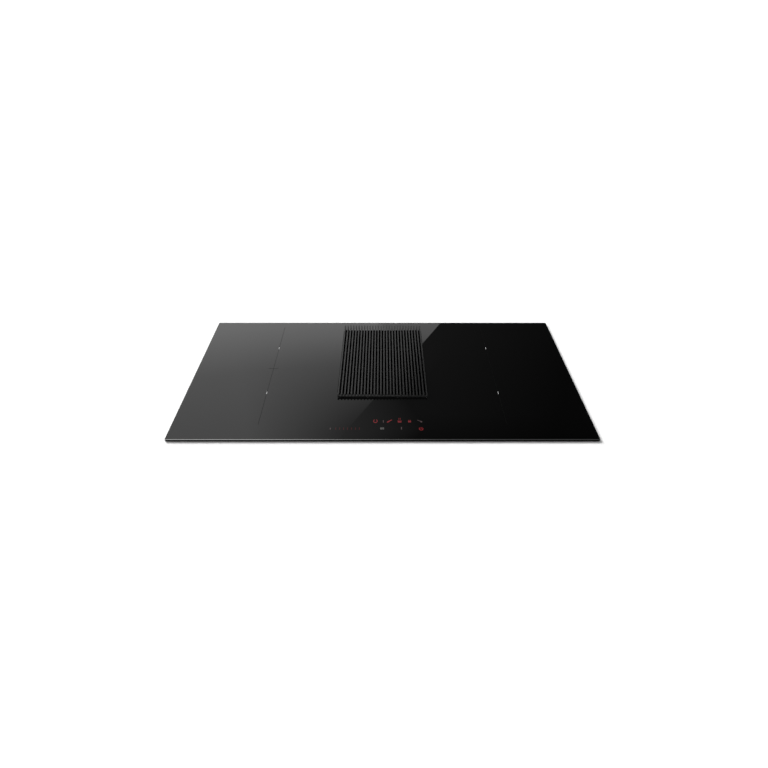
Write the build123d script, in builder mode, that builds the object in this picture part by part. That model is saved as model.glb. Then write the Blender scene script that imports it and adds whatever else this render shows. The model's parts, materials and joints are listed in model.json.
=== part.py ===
from build123d import *

import os
from math import cos, radians, sin

# Induction cooktop with a downdraft extractor in the middle of its glass.
#
# The cooktop drops into a worktop cut-out.  Its ceramic glass lies on the worktop by a thin
# foam seal, so the worktop's surface is z = 0 and the origin is under the middle of the glass.
# +X is the cook's right, +Y is the back and +Z is up.  All sizes are in millimetres.
#
# From the top down the object is
#   * the glass with its vent hole, and the loose grille that lies over the hole,
#   * a steel tray under the glass with four coils, two power boards and their cooling fans,
#   * a plastic air shaft through the tray, in which a drip tray and two grease filters hang,
#   * a plastic housing under the tray, where a centrifugal blower draws the air in from the
#     shaft and pushes it out of a flat duct spigot at the back.

# ------------------------------------------------------------------ glass and its hole
glass_width = 830
glass_depth = 515
glass_thickness = 4
glass_corner_radius = 4
glass_bevel_width = 1.9
glass_bevel_height = 0.8
glass_arris = 0.5

vent_width = 190
vent_front_margin = 165.5
vent_back_margin = 42.4
vent_corner_radius = 8

seal_thickness = 1
seal_width = 8
seal_inset = 3

# ------------------------------------------------------------------ grille
bar_count = 28
bar_pitch = 6.85
bar_thickness = 2.8
bar_overhang = 13.5
bar_rise = 7.4
bar_drop = 6
bar_step_clearance = 6
bar_end_radius = 3
cross_bar_width = 5
cross_bar_height = 4
cross_bar_spacing = 106
foot_rail_width = 3
foot_rail_height = 3
bars_per_pad = 9
pad_thickness = 0.5
pad_length = 8
grille_foot_gap = 0.3

# ------------------------------------------------------------------ steel tray
rim_overlap = 11
tray_gap = 6
tray_height = 51
tray_corner_radius = 10
sheet = 1
collar_gap = 1
fan_slot_width = 4
fan_slot_pitch = 8
fan_slot_count = 8
wall_slot_width = 4
wall_slot_height = 22
wall_slot_pitch = 10
wall_slot_count = 16

# ------------------------------------------------------------------ coils
coil_gap = 9
coil_corner_radius = 62
coil_eye_width = 64
coil_eye_length = 56
coil_eye_radius = 24
coil_split_inset = 26
coil_split_width = 4
coil_side_gap = 50
coil_shaft_gap = 34.5
coil_front_gap = 62
coil_back_gap = 24
winding_thickness = 5
ferrite_thickness = 4.5
ferrite_width = 12
ferrite_length = 56
ferrite_count = 8
carrier_thickness = 1.5
carrier_corner_radius = 12
leg_width = 14
mica_thickness = 0.8
mica_margin = 4
sensor_radius = 7
sensor_lead_radius = 2

# ------------------------------------------------------------------ power electronics
board_side_gap = 14
board_back_gap = 80
board_thickness = 1.6
board_fan_gap = 5
standoff_height = 6
standoff_radius = 4
standoff_inset = 9
heatsink_width = 66
heatsink_height = 24
heatsink_base = 4
fin_count = 9
fin_thickness = 1.6
capacitor_count = 4
capacitor_width = 26
capacitor_length = 32
capacitor_height = 22
choke_radius = 17
choke_bore_radius = 7
choke_height = 14
choke_pitch = 80
relay_count = 5
relay_width = 20
relay_length = 16
relay_height = 16
relay_back_gap = 50
component_gap = 8
fan_size = 80
fan_height = 25
fan_wall = 2.5
fan_front_gap = 8
fan_tip_clearance = 2
fan_hub_radius = 17
fan_hub_height = 18
fan_blade_count = 7
fan_blade_chord = 20
fan_blade_thickness = 1.6
fan_blade_angle = 38
fan_arm_height = 3
fan_arm_width = 3
fan_arm_gap = 0.3
fan_pin_height = 10
fan_pin_radius = 1.6
fan_pin_clearance = 0.05

# ------------------------------------------------------------------ touch controls
ui_width = 236
ui_length = 58
ui_front_margin = 22.5
ui_depth = 7
ui_wall = 2
ui_foot_width = 10
touch_pad_radius = 4
touch_pad_pitch = 22
touch_pad_count = 9
display_width = 16
display_length = 12
display_height = 6
display_pitch = 44
display_count = 3

# ------------------------------------------------------------------ air shaft
shaft_setback = 3
shaft_wall = 2.5
shaft_corner_radius = 10
shaft_flange_width = 12
shaft_flange_thickness = 2.5
shaft_seal_thickness = 1.5
shaft_neck_depth = 6
ledge_reach = 9.5
ledge_height = 6
ledge_length = 40
ledge_depth = 20

# ------------------------------------------------------------------ drip tray and filters
basket_clearance = 3
basket_wall = 2.5
basket_rim_height = 4
basket_rest_gap = 0.3
basket_step = 5
basket_corner_radius = 5
trough_width = 56
trough_depth = 34
trough_floor_radius = 8
trough_drop = 2
rail_width = 6
rail_top_gap = 8
filter_angle = 48
filter_width = 104
filter_thickness = 9
filter_side_gap = 1.5
filter_top_drop = 1
filter_end_gap = 0.8
filter_rest_gap = 0.3
filter_border = 10
filter_recess = 2
filter_slot_width = 5
filter_slot_length = 20
filter_slot_pitch = 10
filter_row_count = 3
filter_row_pitch = 27
bail_width = 70
bail_reach = 22
bail_wire_radius = 1.5
bail_bend_radius = 4
bail_pin_length = 8
bail_clearance = 0.08
bail_lift = 0.4
ear_width = 6
ear_thickness = 4
ear_wall = 1.4

# ------------------------------------------------------------------ lower housing
cover_thickness = 3
cover_clearance = 1
housing_wall = 2.5
housing_height = 159
housing_corner_radius = 10
housing_floor_radius = 8
housing_side_gap = 15
housing_front_gap = 12
housing_back_gap = 12
housing_right_gap = 12
lip_width = 8
lip_thickness = 2.5
lip_screw_pitch_x = 200
lip_screw_pitch_y = 210
gusset_pitch = 50
gusset_count_x = 8
gusset_count_y = 6
gusset_thickness = 2.5
gusset_reach = 6
gusset_height = 24
floor_panel_count_x = 5
floor_panel_count_y = 3
floor_panel_depth = 1
floor_panel_radius = 4
floor_rib_width = 6

# ------------------------------------------------------------------ duct spigot
duct_width = 222
duct_height = 89
duct_wall = 2
duct_corner_radius = 4
duct_reach = 24
duct_flange_width = 9
duct_flange_thickness = 3
duct_side_gap = 2
duct_overlap = 8
duct_clearance = 0.3

# ------------------------------------------------------------------ blower
blower_front_gap = 18
scroll_wall = 2
scroll_growth = 10
scroll_floor_gap = 13
scroll_back_gap = 1.5
scroll_lip_width = 4
scroll_lip_thickness = 2
outlet_straight = 14
tongue_gap = 8
tongue_radius = 5
impeller_radius = 88
impeller_eye_radius = 72
impeller_height = 70
impeller_floor_gap = 4
impeller_plate = 2
impeller_ring_height = 4
impeller_ring_width = 4
impeller_sleeve_height = 14
blade_count = 32
blade_bulge_angle = 1.5
blade_lead_angle = 8
blade_turn = 1.1
bellmouth_gap = 3
bellmouth_wall = 2
bellmouth_radius = 14
bellmouth_dip = 3
bellmouth_flange = 9
motor_radius = 40
motor_can_height = 32
motor_can_wall = 2
magnet_thickness = 2.5
magnet_height = 20
magnet_lift = 4
motor_air_gap = 0.6
stator_lift = 6
stator_height = 18
stator_slot_count = 12
stator_slot_width = 4
stator_back_width = 7
motor_flange_radius = 34
motor_flange_thickness = 3
bearing_tube_radius = 12
bearing_tube_height = 25
motor_shaft_radius = 4
shaft_end_gap = 0.3
bearing_radius = 9.5
bearing_height = 6
bearing_clearance = 0.05
isolator_radius = 9
isolator_waist = 2
isolator_spread = 62

# ------------------------------------------------------------------ boxes under the tray
mains_box_width = 96
mains_box_length = 84
mains_box_height = 40
mains_box_wall = 2.5
mains_box_corner_radius = 4
mains_box_side_gap = 20
mains_box_back_gap = 26
mains_boss_radius = 5
mains_boss_inset = 9
mains_screw_length = 14
gland_bore_radius = 6.5
gland_body_radius = 10
gland_nut_radius = 14
gland_nut_length = 7
gland_cap_radius = 11
gland_cap_length = 14
gland_rim = 1
gland_inner_length = 10
gland_clearance = 0.1
terminal_width = 56
terminal_length = 20
terminal_height = 18
terminal_ways = 6
terminal_way_radius = 3
control_box_width = 96
control_box_length = 130
control_box_height = 34
control_box_radius = 4
control_box_ear_width = 24
control_box_ear_reach = 12
control_box_ear_thickness = 3
socket_count = 4
socket_pitch = 24
socket_width = 16
socket_height = 9
socket_depth = 8

# ------------------------------------------------------------------ small steel parts
spring_width = 22
spring_length = 34
spring_bulge = 6.5
spring_thickness = 0.8
spring_pitch = 300
spring_top_drop = 5
bracket_length = 30
bracket_reach = 14
bracket_drop = 12
bracket_thickness = 1.5
bracket_pitch = 250
screw_radius = 2
screw_clearance = 0.15
screw_head_radius = 4
screw_head_height = 2.4
screw_tip = 2

# ------------------------------------------------------------------ levels and outlines
glass_under_z = seal_thickness
glass_top_z = glass_under_z + glass_thickness
front_edge_y = -glass_depth / 2
vent_length = glass_depth - vent_front_margin - vent_back_margin
vent_centre_y = front_edge_y + vent_front_margin + vent_length / 2
ui_centre_y = front_edge_y + ui_front_margin + ui_length / 2

tray_width = glass_width - 2 * (rim_overlap + tray_gap)
tray_length = glass_depth - 2 * (rim_overlap + tray_gap)
tray_bottom_z = glass_under_z - tray_height
tray_floor_z = tray_bottom_z + sheet

vent_middle = (0, vent_centre_y)
shaft_width = vent_width + 2 * shaft_setback
shaft_length = vent_length + 2 * shaft_setback
shaft_outer_width = shaft_width + 2 * shaft_wall
shaft_outer_length = shaft_length + 2 * shaft_wall
shaft_top_z = glass_under_z - shaft_seal_thickness
collar_top_z = shaft_top_z - shaft_flange_thickness
collar_width = shaft_outer_width + 2 * collar_gap
collar_length = shaft_outer_length + 2 * collar_gap

cover_low_z = tray_bottom_z - cover_thickness
shaft_bottom_z = cover_low_z - shaft_neck_depth
screw_hole_radius = screw_radius + screw_clearance

housing_left_x = -(shaft_outer_width / 2 + housing_side_gap)
control_middle = ((housing_left_x - lip_width - tray_width / 2) / 2, 0)
control_screw_pitch = control_box_length + control_box_ear_reach


def save(piece, label):
    """Label a finished piece and write its file."""
    piece.part.label = label
    export_step(piece.part, f"parts/{label}.step")


os.makedirs("parts", exist_ok=True)

# ================================================================== glass
with BuildPart() as glass_top:
    with BuildSketch(Plane.XY.offset(glass_under_z)):
        RectangleRounded(glass_width, glass_depth, glass_corner_radius)
        with Locations(vent_middle):
            RectangleRounded(vent_width, vent_length, vent_corner_radius, mode=Mode.SUBTRACT)
    extrude(amount=glass_thickness)
    top_edges = glass_top.faces().sort_by(Axis.Z)[-1].edges()
    chamfer(top_edges, length=glass_arris)
    # the edge towards the cook is ground to a wider bevel
    with BuildSketch(Plane.YZ.offset(-glass_width / 2)):
        with BuildLine():
            Polyline(
                (front_edge_y, glass_top_z),
                (front_edge_y, glass_top_z - glass_bevel_height),
                (front_edge_y + glass_bevel_width, glass_top_z),
                close=True,
            )
        make_face()
    extrude(amount=glass_width, mode=Mode.SUBTRACT)
save(glass_top, "glass_top")

# The foam seal is a closed loop, set in a little from the glass edge.
seal_outer_width = glass_width - 2 * seal_inset
seal_outer_length = glass_depth - 2 * seal_inset
with BuildPart() as worktop_seal:
    with BuildSketch():
        Rectangle(seal_outer_width, seal_outer_length)
        seal_hole_width = seal_outer_width - 2 * seal_width
        seal_hole_length = seal_outer_length - 2 * seal_width
        Rectangle(seal_hole_width, seal_hole_length, mode=Mode.SUBTRACT)
    extrude(amount=seal_thickness)
save(worktop_seal, "worktop_seal")

# ================================================================== grille
# Every bar is the same plate on edge: its ends lie on the glass in front of and behind the
# hole, and its middle drops into the hole, which keeps the grille in place.
bar_length = vent_length + 2 * bar_overhang
bar_foot_z = glass_top_z + pad_thickness + grille_foot_gap
bar_top_z = glass_top_z + bar_rise
bar_low_z = glass_top_z - bar_drop
bar_middle = vent_length / 2 - bar_step_clearance
bar_row_width = (bar_count - 1) * bar_pitch + bar_thickness

with BuildPart() as grille:
    with BuildSketch(Plane.YZ.offset(-bar_row_width / 2), mode=Mode.PRIVATE) as bar_profile:
        with BuildLine(Location((vent_centre_y, 0))):
            Polyline(
                (-bar_length / 2, bar_foot_z),
                (-bar_middle, bar_foot_z),
                (-bar_middle, bar_low_z),
                (bar_middle, bar_low_z),
                (bar_middle, bar_foot_z),
                (bar_length / 2, bar_foot_z),
                (bar_length / 2, bar_top_z),
                (-bar_length / 2, bar_top_z),
                close=True,
            )
        make_face()
        fillet(bar_profile.vertices().group_by(Axis.Y)[-1], bar_end_radius)
    for number in range(bar_count):
        extrude(bar_profile.sketch.moved(Location((number * bar_pitch, 0, 0))), amount=bar_thickness)
    with BuildSketch(Plane.XY.offset(bar_low_z)):
        with Locations(vent_middle), GridLocations(1, cross_bar_spacing, 1, 2):
            Rectangle(bar_row_width, cross_bar_width)
    extrude(amount=cross_bar_height)
    # a rail joins the bars' front feet
    with BuildSketch(Plane.XY.offset(bar_foot_z)):
        with Locations((0, vent_centre_y - (bar_length - foot_rail_width) / 2)):
            Rectangle(bar_row_width, foot_rail_width)
    extrude(amount=foot_rail_height)
save(grille, "grille")

# Silicone pads under both ends of every ninth bar.
with BuildPart() as grille_pads:
    with BuildSketch(Plane.XY.offset(bar_foot_z - pad_thickness)):
        for number in range(0, bar_count, bars_per_pad):
            bar_x = (bar_thickness - bar_row_width) / 2 + number * bar_pitch
            with Locations((bar_x, vent_centre_y)), GridLocations(1, bar_length - pad_length, 1, 2):
                Rectangle(bar_thickness, pad_length)
    extrude(amount=pad_thickness)
save(grille_pads, "grille_pads")

# ================================================================== steel tray
fan_centre_y = -tray_length / 2 + sheet + fan_front_gap + fan_size / 2
coil_outer_x = tray_width / 2 - sheet - coil_side_gap
coil_inner_x = shaft_outer_width / 2 + shaft_flange_width + coil_shaft_gap
coil_width = coil_outer_x - coil_inner_x
coil_x = (coil_outer_x + coil_inner_x) / 2
side_x = {"left": -coil_x, "right": coil_x}
fan_slot_length = fan_size - 2 * fan_wall - 2 * fan_slot_pitch
bracket_hole_z = glass_under_z - bracket_drop / 2

with BuildPart() as hob_tray:
    with BuildSketch(Plane.XY.offset(tray_bottom_z)):
        RectangleRounded(tray_width, tray_length, tray_corner_radius)
    extrude(amount=tray_height)
    tray_mouth = hob_tray.faces().sort_by(Axis.Z)[-1]
    offset(amount=-sheet, openings=tray_mouth)
    # a collar stands up round the air shaft and carries its flange
    with BuildSketch(Plane.XY.offset(tray_bottom_z)):
        with Locations(vent_middle):
            collar_outer_radius = shaft_corner_radius + sheet
            RectangleRounded(collar_width + 2 * sheet, collar_length + 2 * sheet, collar_outer_radius)
    extrude(amount=collar_top_z - tray_bottom_z)
    with BuildSketch(Plane.XY.offset(tray_bottom_z)):
        with Locations(vent_middle):
            RectangleRounded(collar_width, collar_length, shaft_corner_radius)
    extrude(amount=tray_height, mode=Mode.SUBTRACT)
    # cooling air comes in through slots under the fans
    with BuildSketch(Plane.XY.offset(tray_bottom_z)):
        with GridLocations(2 * coil_x, 1, 2, 1), Locations((0, fan_centre_y)):
            with GridLocations(fan_slot_pitch, 1, fan_slot_count, 1):
                Rectangle(fan_slot_width, fan_slot_length)
    extrude(amount=sheet, mode=Mode.SUBTRACT)
    # and leaves through slots in the back wall, behind the power boards
    with BuildSketch(Plane.XZ.offset(-tray_length / 2)):
        with GridLocations(2 * coil_x, 1, 2, 1), Locations((0, tray_bottom_z + tray_height / 2)):
            with GridLocations(wall_slot_pitch, 1, wall_slot_count, 1):
                Rectangle(wall_slot_width, wall_slot_height)
    extrude(amount=sheet, mode=Mode.SUBTRACT)
    # screw holes for the control box in the floor, and for the brackets in both side walls
    with BuildSketch(Plane.XY.offset(tray_bottom_z)):
        with Locations(control_middle), GridLocations(1, control_screw_pitch, 1, 2):
            Circle(screw_hole_radius)
    extrude(amount=sheet, mode=Mode.SUBTRACT)
    with BuildSketch(Plane.YZ.offset(-tray_width / 2)):
        with Locations((0, bracket_hole_z)), GridLocations(bracket_pitch / 2, 1, 3, 1):
            Circle(screw_hole_radius)
    extrude(amount=tray_width, mode=Mode.SUBTRACT)
save(hob_tray, "hob_tray")

# Angle brackets are glued under the glass, and the tray's side walls are screwed to them.
bracket_face_x = tray_width / 2 - sheet
with BuildPart() as glass_brackets:
    with BuildSketch(Plane.XZ, mode=Mode.PRIVATE) as bracket_profile:
        with BuildLine():
            Polyline(
                (bracket_face_x, glass_under_z),
                (bracket_face_x - bracket_reach, glass_under_z),
                (bracket_face_x - bracket_reach, glass_under_z - bracket_thickness),
                (bracket_face_x - bracket_thickness, glass_under_z - bracket_thickness),
                (bracket_face_x - bracket_thickness, glass_under_z - bracket_drop),
                (bracket_face_x, glass_under_z - bracket_drop),
                close=True,
            )
        make_face()
    for row in (-1, 0, 1):
        back_end_y = row * bracket_pitch / 2 + bracket_length / 2
        extrude(bracket_profile.sketch.moved(Location((0, back_end_y, 0))), amount=bracket_length)
    with BuildSketch(Plane.YZ.offset(bracket_face_x)):
        with Locations((0, bracket_hole_z)), GridLocations(bracket_pitch / 2, 1, 3, 1):
            Circle(screw_hole_radius)
    extrude(amount=-bracket_thickness, mode=Mode.SUBTRACT)
    mirror(about=Plane.YZ)
save(glass_brackets, "glass_brackets")

with BuildPart() as tray_screws:
    with BuildSketch(Plane.YZ.offset(tray_width / 2)):
        with Locations((0, bracket_hole_z)), GridLocations(bracket_pitch / 2, 1, 3, 1):
            Circle(screw_head_radius)
    extrude(amount=screw_head_height)
    with BuildSketch(Plane.YZ.offset(tray_width / 2)):
        with Locations((0, bracket_hole_z)), GridLocations(bracket_pitch / 2, 1, 3, 1):
            Circle(screw_radius)
    extrude(amount=-(sheet + bracket_thickness + screw_tip))
    mirror(about=Plane.YZ)
save(tray_screws, "tray_screws")

# Leaf springs on the side walls wedge the cooktop in its cut-out.
spring_top_z = glass_under_z - spring_top_drop
spring_low_z = spring_top_z - spring_length
spring_middle_z = (spring_top_z + spring_low_z) / 2
with BuildPart() as fixing_springs:
    with BuildSketch(Plane.XZ, mode=Mode.PRIVATE) as spring_profile:
        with BuildLine(Location((tray_width / 2, 0))):
            outer_arc = ThreePointArc((0, spring_top_z), (spring_bulge, spring_middle_z), (0, spring_low_z))
            inner_arc = ThreePointArc(
                (0, spring_low_z + spring_thickness),
                (spring_bulge - spring_thickness, spring_middle_z),
                (0, spring_top_z - spring_thickness),
            )
            Line(outer_arc @ 1, inner_arc @ 0)
            Line(inner_arc @ 1, outer_arc @ 0)
        make_face()
    for side in (-1, 1):
        back_end_y = side * spring_pitch / 2 + spring_width / 2
        extrude(spring_profile.sketch.moved(Location((0, back_end_y, 0))), amount=spring_width)
    mirror(about=Plane.YZ)
save(fixing_springs, "fixing_springs")

# ================================================================== coils
coil_front_y = -tray_length / 2 + sheet + coil_front_gap
coil_back_y = tray_length / 2 - sheet - coil_back_gap
coil_centre_y = (coil_front_y + coil_back_y) / 2
pair_length = coil_back_y - coil_front_y
coil_length = (pair_length - coil_gap) / 2
coil_row_pitch = coil_length + coil_gap
coil_places = {
    "front_left": (-coil_x, coil_centre_y - coil_row_pitch / 2),
    "front_right": (coil_x, coil_centre_y - coil_row_pitch / 2),
    "back_left": (-coil_x, coil_centre_y + coil_row_pitch / 2),
    "back_right": (coil_x, coil_centre_y + coil_row_pitch / 2),
}
mica_low_z = glass_under_z - mica_thickness
winding_low_z = mica_low_z - winding_thickness
ferrite_low_z = winding_low_z - ferrite_thickness
carrier_low_z = ferrite_low_z - carrier_thickness

with BuildPart() as mica_sheets:
    with BuildSketch(Plane.XY.offset(mica_low_z)):
        with Locations((-coil_x, coil_centre_y), (coil_x, coil_centre_y)):
            Rectangle(coil_width + 2 * mica_margin, pair_length + 2 * mica_margin)
    extrude(amount=mica_thickness)
save(mica_sheets, "mica_sheets")


def make_winding(place, label):
    """Flat litz winding: an inner and an outer band round the sensor's eye."""
    with BuildPart() as winding:
        with BuildSketch(Plane.XY.offset(winding_low_z)):
            with Locations(place):
                RectangleRounded(coil_width, coil_length, coil_corner_radius)
                RectangleRounded(coil_eye_width, coil_eye_length, coil_eye_radius, mode=Mode.SUBTRACT)
        extrude(amount=winding_thickness)
        # a groove half as deep as the winding parts the two bands
        with BuildSketch(Plane.XY.offset(mica_low_z)):
            with Locations(place):
                groove_sides = (
                    (coil_split_inset, Mode.ADD),
                    (coil_split_inset + coil_split_width, Mode.SUBTRACT),
                )
                for inset, how in groove_sides:
                    width = coil_width - 2 * inset
                    length = coil_length - 2 * inset
                    RectangleRounded(width, length, coil_corner_radius - inset, mode=how)
        extrude(amount=-winding_thickness / 2, mode=Mode.SUBTRACT)
    save(winding, label)


def make_carrier(x, label):
    """Aluminium plate under one side's two coils, with legs down to the tray's floor."""
    with BuildPart() as carrier:
        with BuildSketch(Plane.XY.offset(carrier_low_z)):
            with Locations((x, coil_centre_y)):
                RectangleRounded(coil_width, pair_length, carrier_corner_radius)
                with GridLocations(1, coil_row_pitch, 1, 2):
                    Circle(sensor_lead_radius, mode=Mode.SUBTRACT)
        extrude(amount=carrier_thickness)
        with BuildSketch(Plane.XY.offset(tray_floor_z)):
            with Locations((x, coil_centre_y)):
                leg_pitch_y = (pair_length - 2 * carrier_corner_radius - leg_width) / 2
                with GridLocations(coil_width - carrier_thickness, leg_pitch_y, 2, 3):
                    Rectangle(carrier_thickness, leg_width)
        extrude(amount=carrier_low_z - tray_floor_z)
    save(carrier, label)


for spot, place in coil_places.items():
    make_winding(place, f"coil_winding_{spot}")
for side, x in side_x.items():
    make_carrier(x, f"coil_carrier_{side}")

# Ferrite bars lie like spokes under each winding.
with BuildPart() as coil_ferrites:
    with BuildSketch(Plane.XY.offset(ferrite_low_z)):
        spoke_middle = coil_eye_width / 2 + ferrite_length / 2 - sensor_radius
        for place in coil_places.values():
            with Locations(place), PolarLocations(spoke_middle, ferrite_count, 180 / ferrite_count):
                Rectangle(ferrite_length, ferrite_width)
    extrude(amount=ferrite_thickness)
save(coil_ferrites, "coil_ferrites")

# Each sensor stands on its carrier and is pressed against the mica under the glass.
with BuildPart() as coil_sensors:
    with BuildSketch(Plane.XY.offset(ferrite_low_z)):
        with Locations(*coil_places.values()):
            Circle(sensor_radius)
    extrude(amount=mica_low_z - ferrite_low_z)
save(coil_sensors, "coil_sensors")

# ================================================================== power boards and fans
board_low_z = tray_floor_z + standoff_height
board_top_z = board_low_z + board_thickness
board_front_y = fan_centre_y + fan_size / 2 + board_fan_gap
board_back_y = tray_length / 2 - sheet - board_back_gap
board_centre_y = (board_front_y + board_back_y) / 2
board_width = coil_width - 2 * board_side_gap
board_length = board_back_y - board_front_y
# from the back: relays, chokes and capacitors, and the heatsink fills what is left in front
relay_y = board_back_y - relay_back_gap - relay_length / 2
choke_y = relay_y - relay_length / 2 - component_gap - choke_radius
capacitor_y = choke_y - choke_radius - component_gap - capacitor_length / 2
heatsink_back_y = capacitor_y - capacitor_length / 2 - component_gap
heatsink_length = heatsink_back_y - board_front_y
capacitor_pitch = (board_width - 2 * component_gap - capacitor_width) / (capacitor_count - 1)
relay_pitch = (board_width - 2 * component_gap - relay_width) / (relay_count - 1)


def make_power_board(x, side):
    """Circuit board of one side, and the tall parts behind its heatsink."""
    with BuildPart() as board:
        with BuildSketch(Plane.XY.offset(board_low_z)):
            with Locations((x, board_centre_y)):
                Rectangle(board_width, board_length)
        extrude(amount=board_thickness)
    save(board, f"power_board_{side}")

    with BuildPart() as tall_parts:
        with BuildSketch(Plane.XY.offset(board_top_z)):
            with Locations((x, capacitor_y)), GridLocations(capacitor_pitch, 1, capacitor_count, 1):
                Rectangle(capacitor_width, capacitor_length)
        extrude(amount=capacitor_height)
        with BuildSketch(Plane.XY.offset(board_top_z)):
            with Locations((x, choke_y)), GridLocations(choke_pitch, 1, 2, 1):
                Circle(choke_radius)
                Circle(choke_bore_radius, mode=Mode.SUBTRACT)
        extrude(amount=choke_height)
        with BuildSketch(Plane.XY.offset(board_top_z)):
            with Locations((x, relay_y)), GridLocations(relay_pitch, 1, relay_count, 1):
                Rectangle(relay_width, relay_length)
        extrude(amount=relay_height)
    save(tall_parts, f"board_parts_{side}")


def make_fan(x, side):
    """Axial fan laid flat over the tray's slots: a square frame and a turning rotor."""
    bore = fan_size / 2 - fan_wall
    centre = (x, fan_centre_y)
    with BuildPart() as fan_frame:
        with BuildSketch(Plane.XY.offset(tray_floor_z)):
            with Locations(centre):
                RectangleRounded(fan_size, fan_size, fan_wall)
                Circle(bore, mode=Mode.SUBTRACT)
        extrude(amount=fan_height)
        # four arms at the bottom carry the pin that the rotor turns on
        with BuildSketch(Plane.XY.offset(tray_floor_z)):
            with Locations(centre):
                Circle(fan_hub_radius)
                with PolarLocations(0, 4, 45):
                    Rectangle(bore + fan_wall / 2, fan_arm_width, align=(Align.MIN, Align.CENTER))
        extrude(amount=fan_arm_height)
        with BuildSketch(Plane.XY.offset(tray_floor_z + fan_arm_height)):
            with Locations(centre):
                Circle(fan_pin_radius)
        extrude(amount=fan_pin_height)
    save(fan_frame, f"cooling_fan_frame_{side}")

    rotor_low_z = tray_floor_z + fan_arm_height + fan_arm_gap
    blade_root = fan_hub_radius - fan_blade_thickness
    blade_tip = bore - fan_tip_clearance
    hub_middle = Plane((x, fan_centre_y, rotor_low_z + fan_hub_height / 2))
    with BuildPart() as fan_rotor:
        with BuildSketch(Plane.XY.offset(rotor_low_z)):
            with Locations(centre):
                Circle(fan_hub_radius)
        extrude(amount=fan_hub_height)
        with BuildSketch(Plane.XY.offset(rotor_low_z)):
            with Locations(centre):
                Circle(fan_pin_radius + fan_pin_clearance)
        extrude(amount=fan_pin_height, mode=Mode.SUBTRACT)
        for number in range(fan_blade_count):
            turned = hub_middle.rotated((0, 0, 360 / fan_blade_count * number))
            outward = Plane(turned.origin + turned.x_dir * blade_root, x_dir=turned.y_dir, z_dir=turned.x_dir)
            with BuildSketch(outward):
                Rectangle(fan_blade_chord, fan_blade_thickness, rotation=fan_blade_angle)
            extrude(amount=blade_tip - blade_root)
    save(fan_rotor, f"cooling_fan_rotor_{side}")


for side, x in side_x.items():
    make_power_board(x, side)
    make_fan(x, side)

with BuildPart() as heatsinks:
    with BuildSketch(Plane.XZ.offset(-heatsink_back_y)):
        with Locations((0, board_top_z)), GridLocations(2 * coil_x, 1, 2, 1):
            Rectangle(heatsink_width, heatsink_base, align=(Align.CENTER, Align.MIN))
            fin_pitch = (heatsink_width - fin_thickness) / (fin_count - 1)
            with GridLocations(fin_pitch, 1, fin_count, 1):
                Rectangle(fin_thickness, heatsink_height, align=(Align.CENTER, Align.MIN))
    extrude(amount=heatsink_length)
save(heatsinks, "heatsinks")

standoff_pitch_x = board_width - 2 * standoff_inset
standoff_pitch_y = (board_length - 2 * standoff_inset) / 2
with BuildPart() as board_standoffs:
    with BuildSketch(Plane.XY.offset(tray_floor_z)):
        with Locations((-coil_x, board_centre_y), (coil_x, board_centre_y)):
            with GridLocations(standoff_pitch_x, standoff_pitch_y, 2, 3):
                Circle(standoff_radius)
    extrude(amount=standoff_height)
save(board_standoffs, "board_standoffs")

# ================================================================== touch controls
ui_middle = (0, ui_centre_y)
ui_board_top_z = glass_under_z - ui_depth
ui_board_low_z = ui_board_top_z - board_thickness
ui_frame_low_z = ui_board_low_z - ui_wall
ui_inner_width = ui_width - 2 * ui_wall
ui_inner_length = ui_length - 2 * ui_wall

with BuildPart() as touch_frame:
    with BuildSketch(Plane.XY.offset(ui_frame_low_z)):
        with Locations(ui_middle):
            Rectangle(ui_width, ui_length)
    extrude(amount=glass_under_z - ui_frame_low_z)
    with BuildSketch(Plane.XY.offset(ui_board_low_z)):
        with Locations(ui_middle):
            Rectangle(ui_inner_width, ui_inner_length)
    extrude(amount=glass_under_z - ui_board_low_z, mode=Mode.SUBTRACT)
    with BuildSketch(Plane.XY.offset(tray_floor_z)):
        with Locations(ui_middle):
            with GridLocations(ui_width - ui_foot_width, ui_length - ui_foot_width, 2, 2):
                Rectangle(ui_foot_width, ui_foot_width)
    extrude(amount=ui_frame_low_z - tray_floor_z)
save(touch_frame, "touch_frame")

with BuildPart() as touch_board:
    with BuildSketch(Plane.XY.offset(ui_board_low_z)):
        with Locations(ui_middle):
            Rectangle(ui_inner_width, ui_inner_length)
    extrude(amount=board_thickness)
save(touch_board, "touch_board")

# Each key is a pad of conductive foam between the board and the glass.
with BuildPart() as touch_pads:
    with BuildSketch(Plane.XY.offset(ui_board_top_z)):
        with Locations((0, ui_centre_y - ui_length / 4)):
            with GridLocations(touch_pad_pitch, 1, touch_pad_count, 1):
                Circle(touch_pad_radius)
    extrude(amount=ui_depth)
save(touch_pads, "touch_pads")

with BuildPart() as led_displays:
    with BuildSketch(Plane.XY.offset(ui_board_top_z)):
        with Locations((0, ui_centre_y + ui_length / 4)):
            with GridLocations(display_pitch, 1, display_count, 1):
                Rectangle(display_width, display_length)
    extrude(amount=display_height)
save(led_displays, "led_displays")

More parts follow.
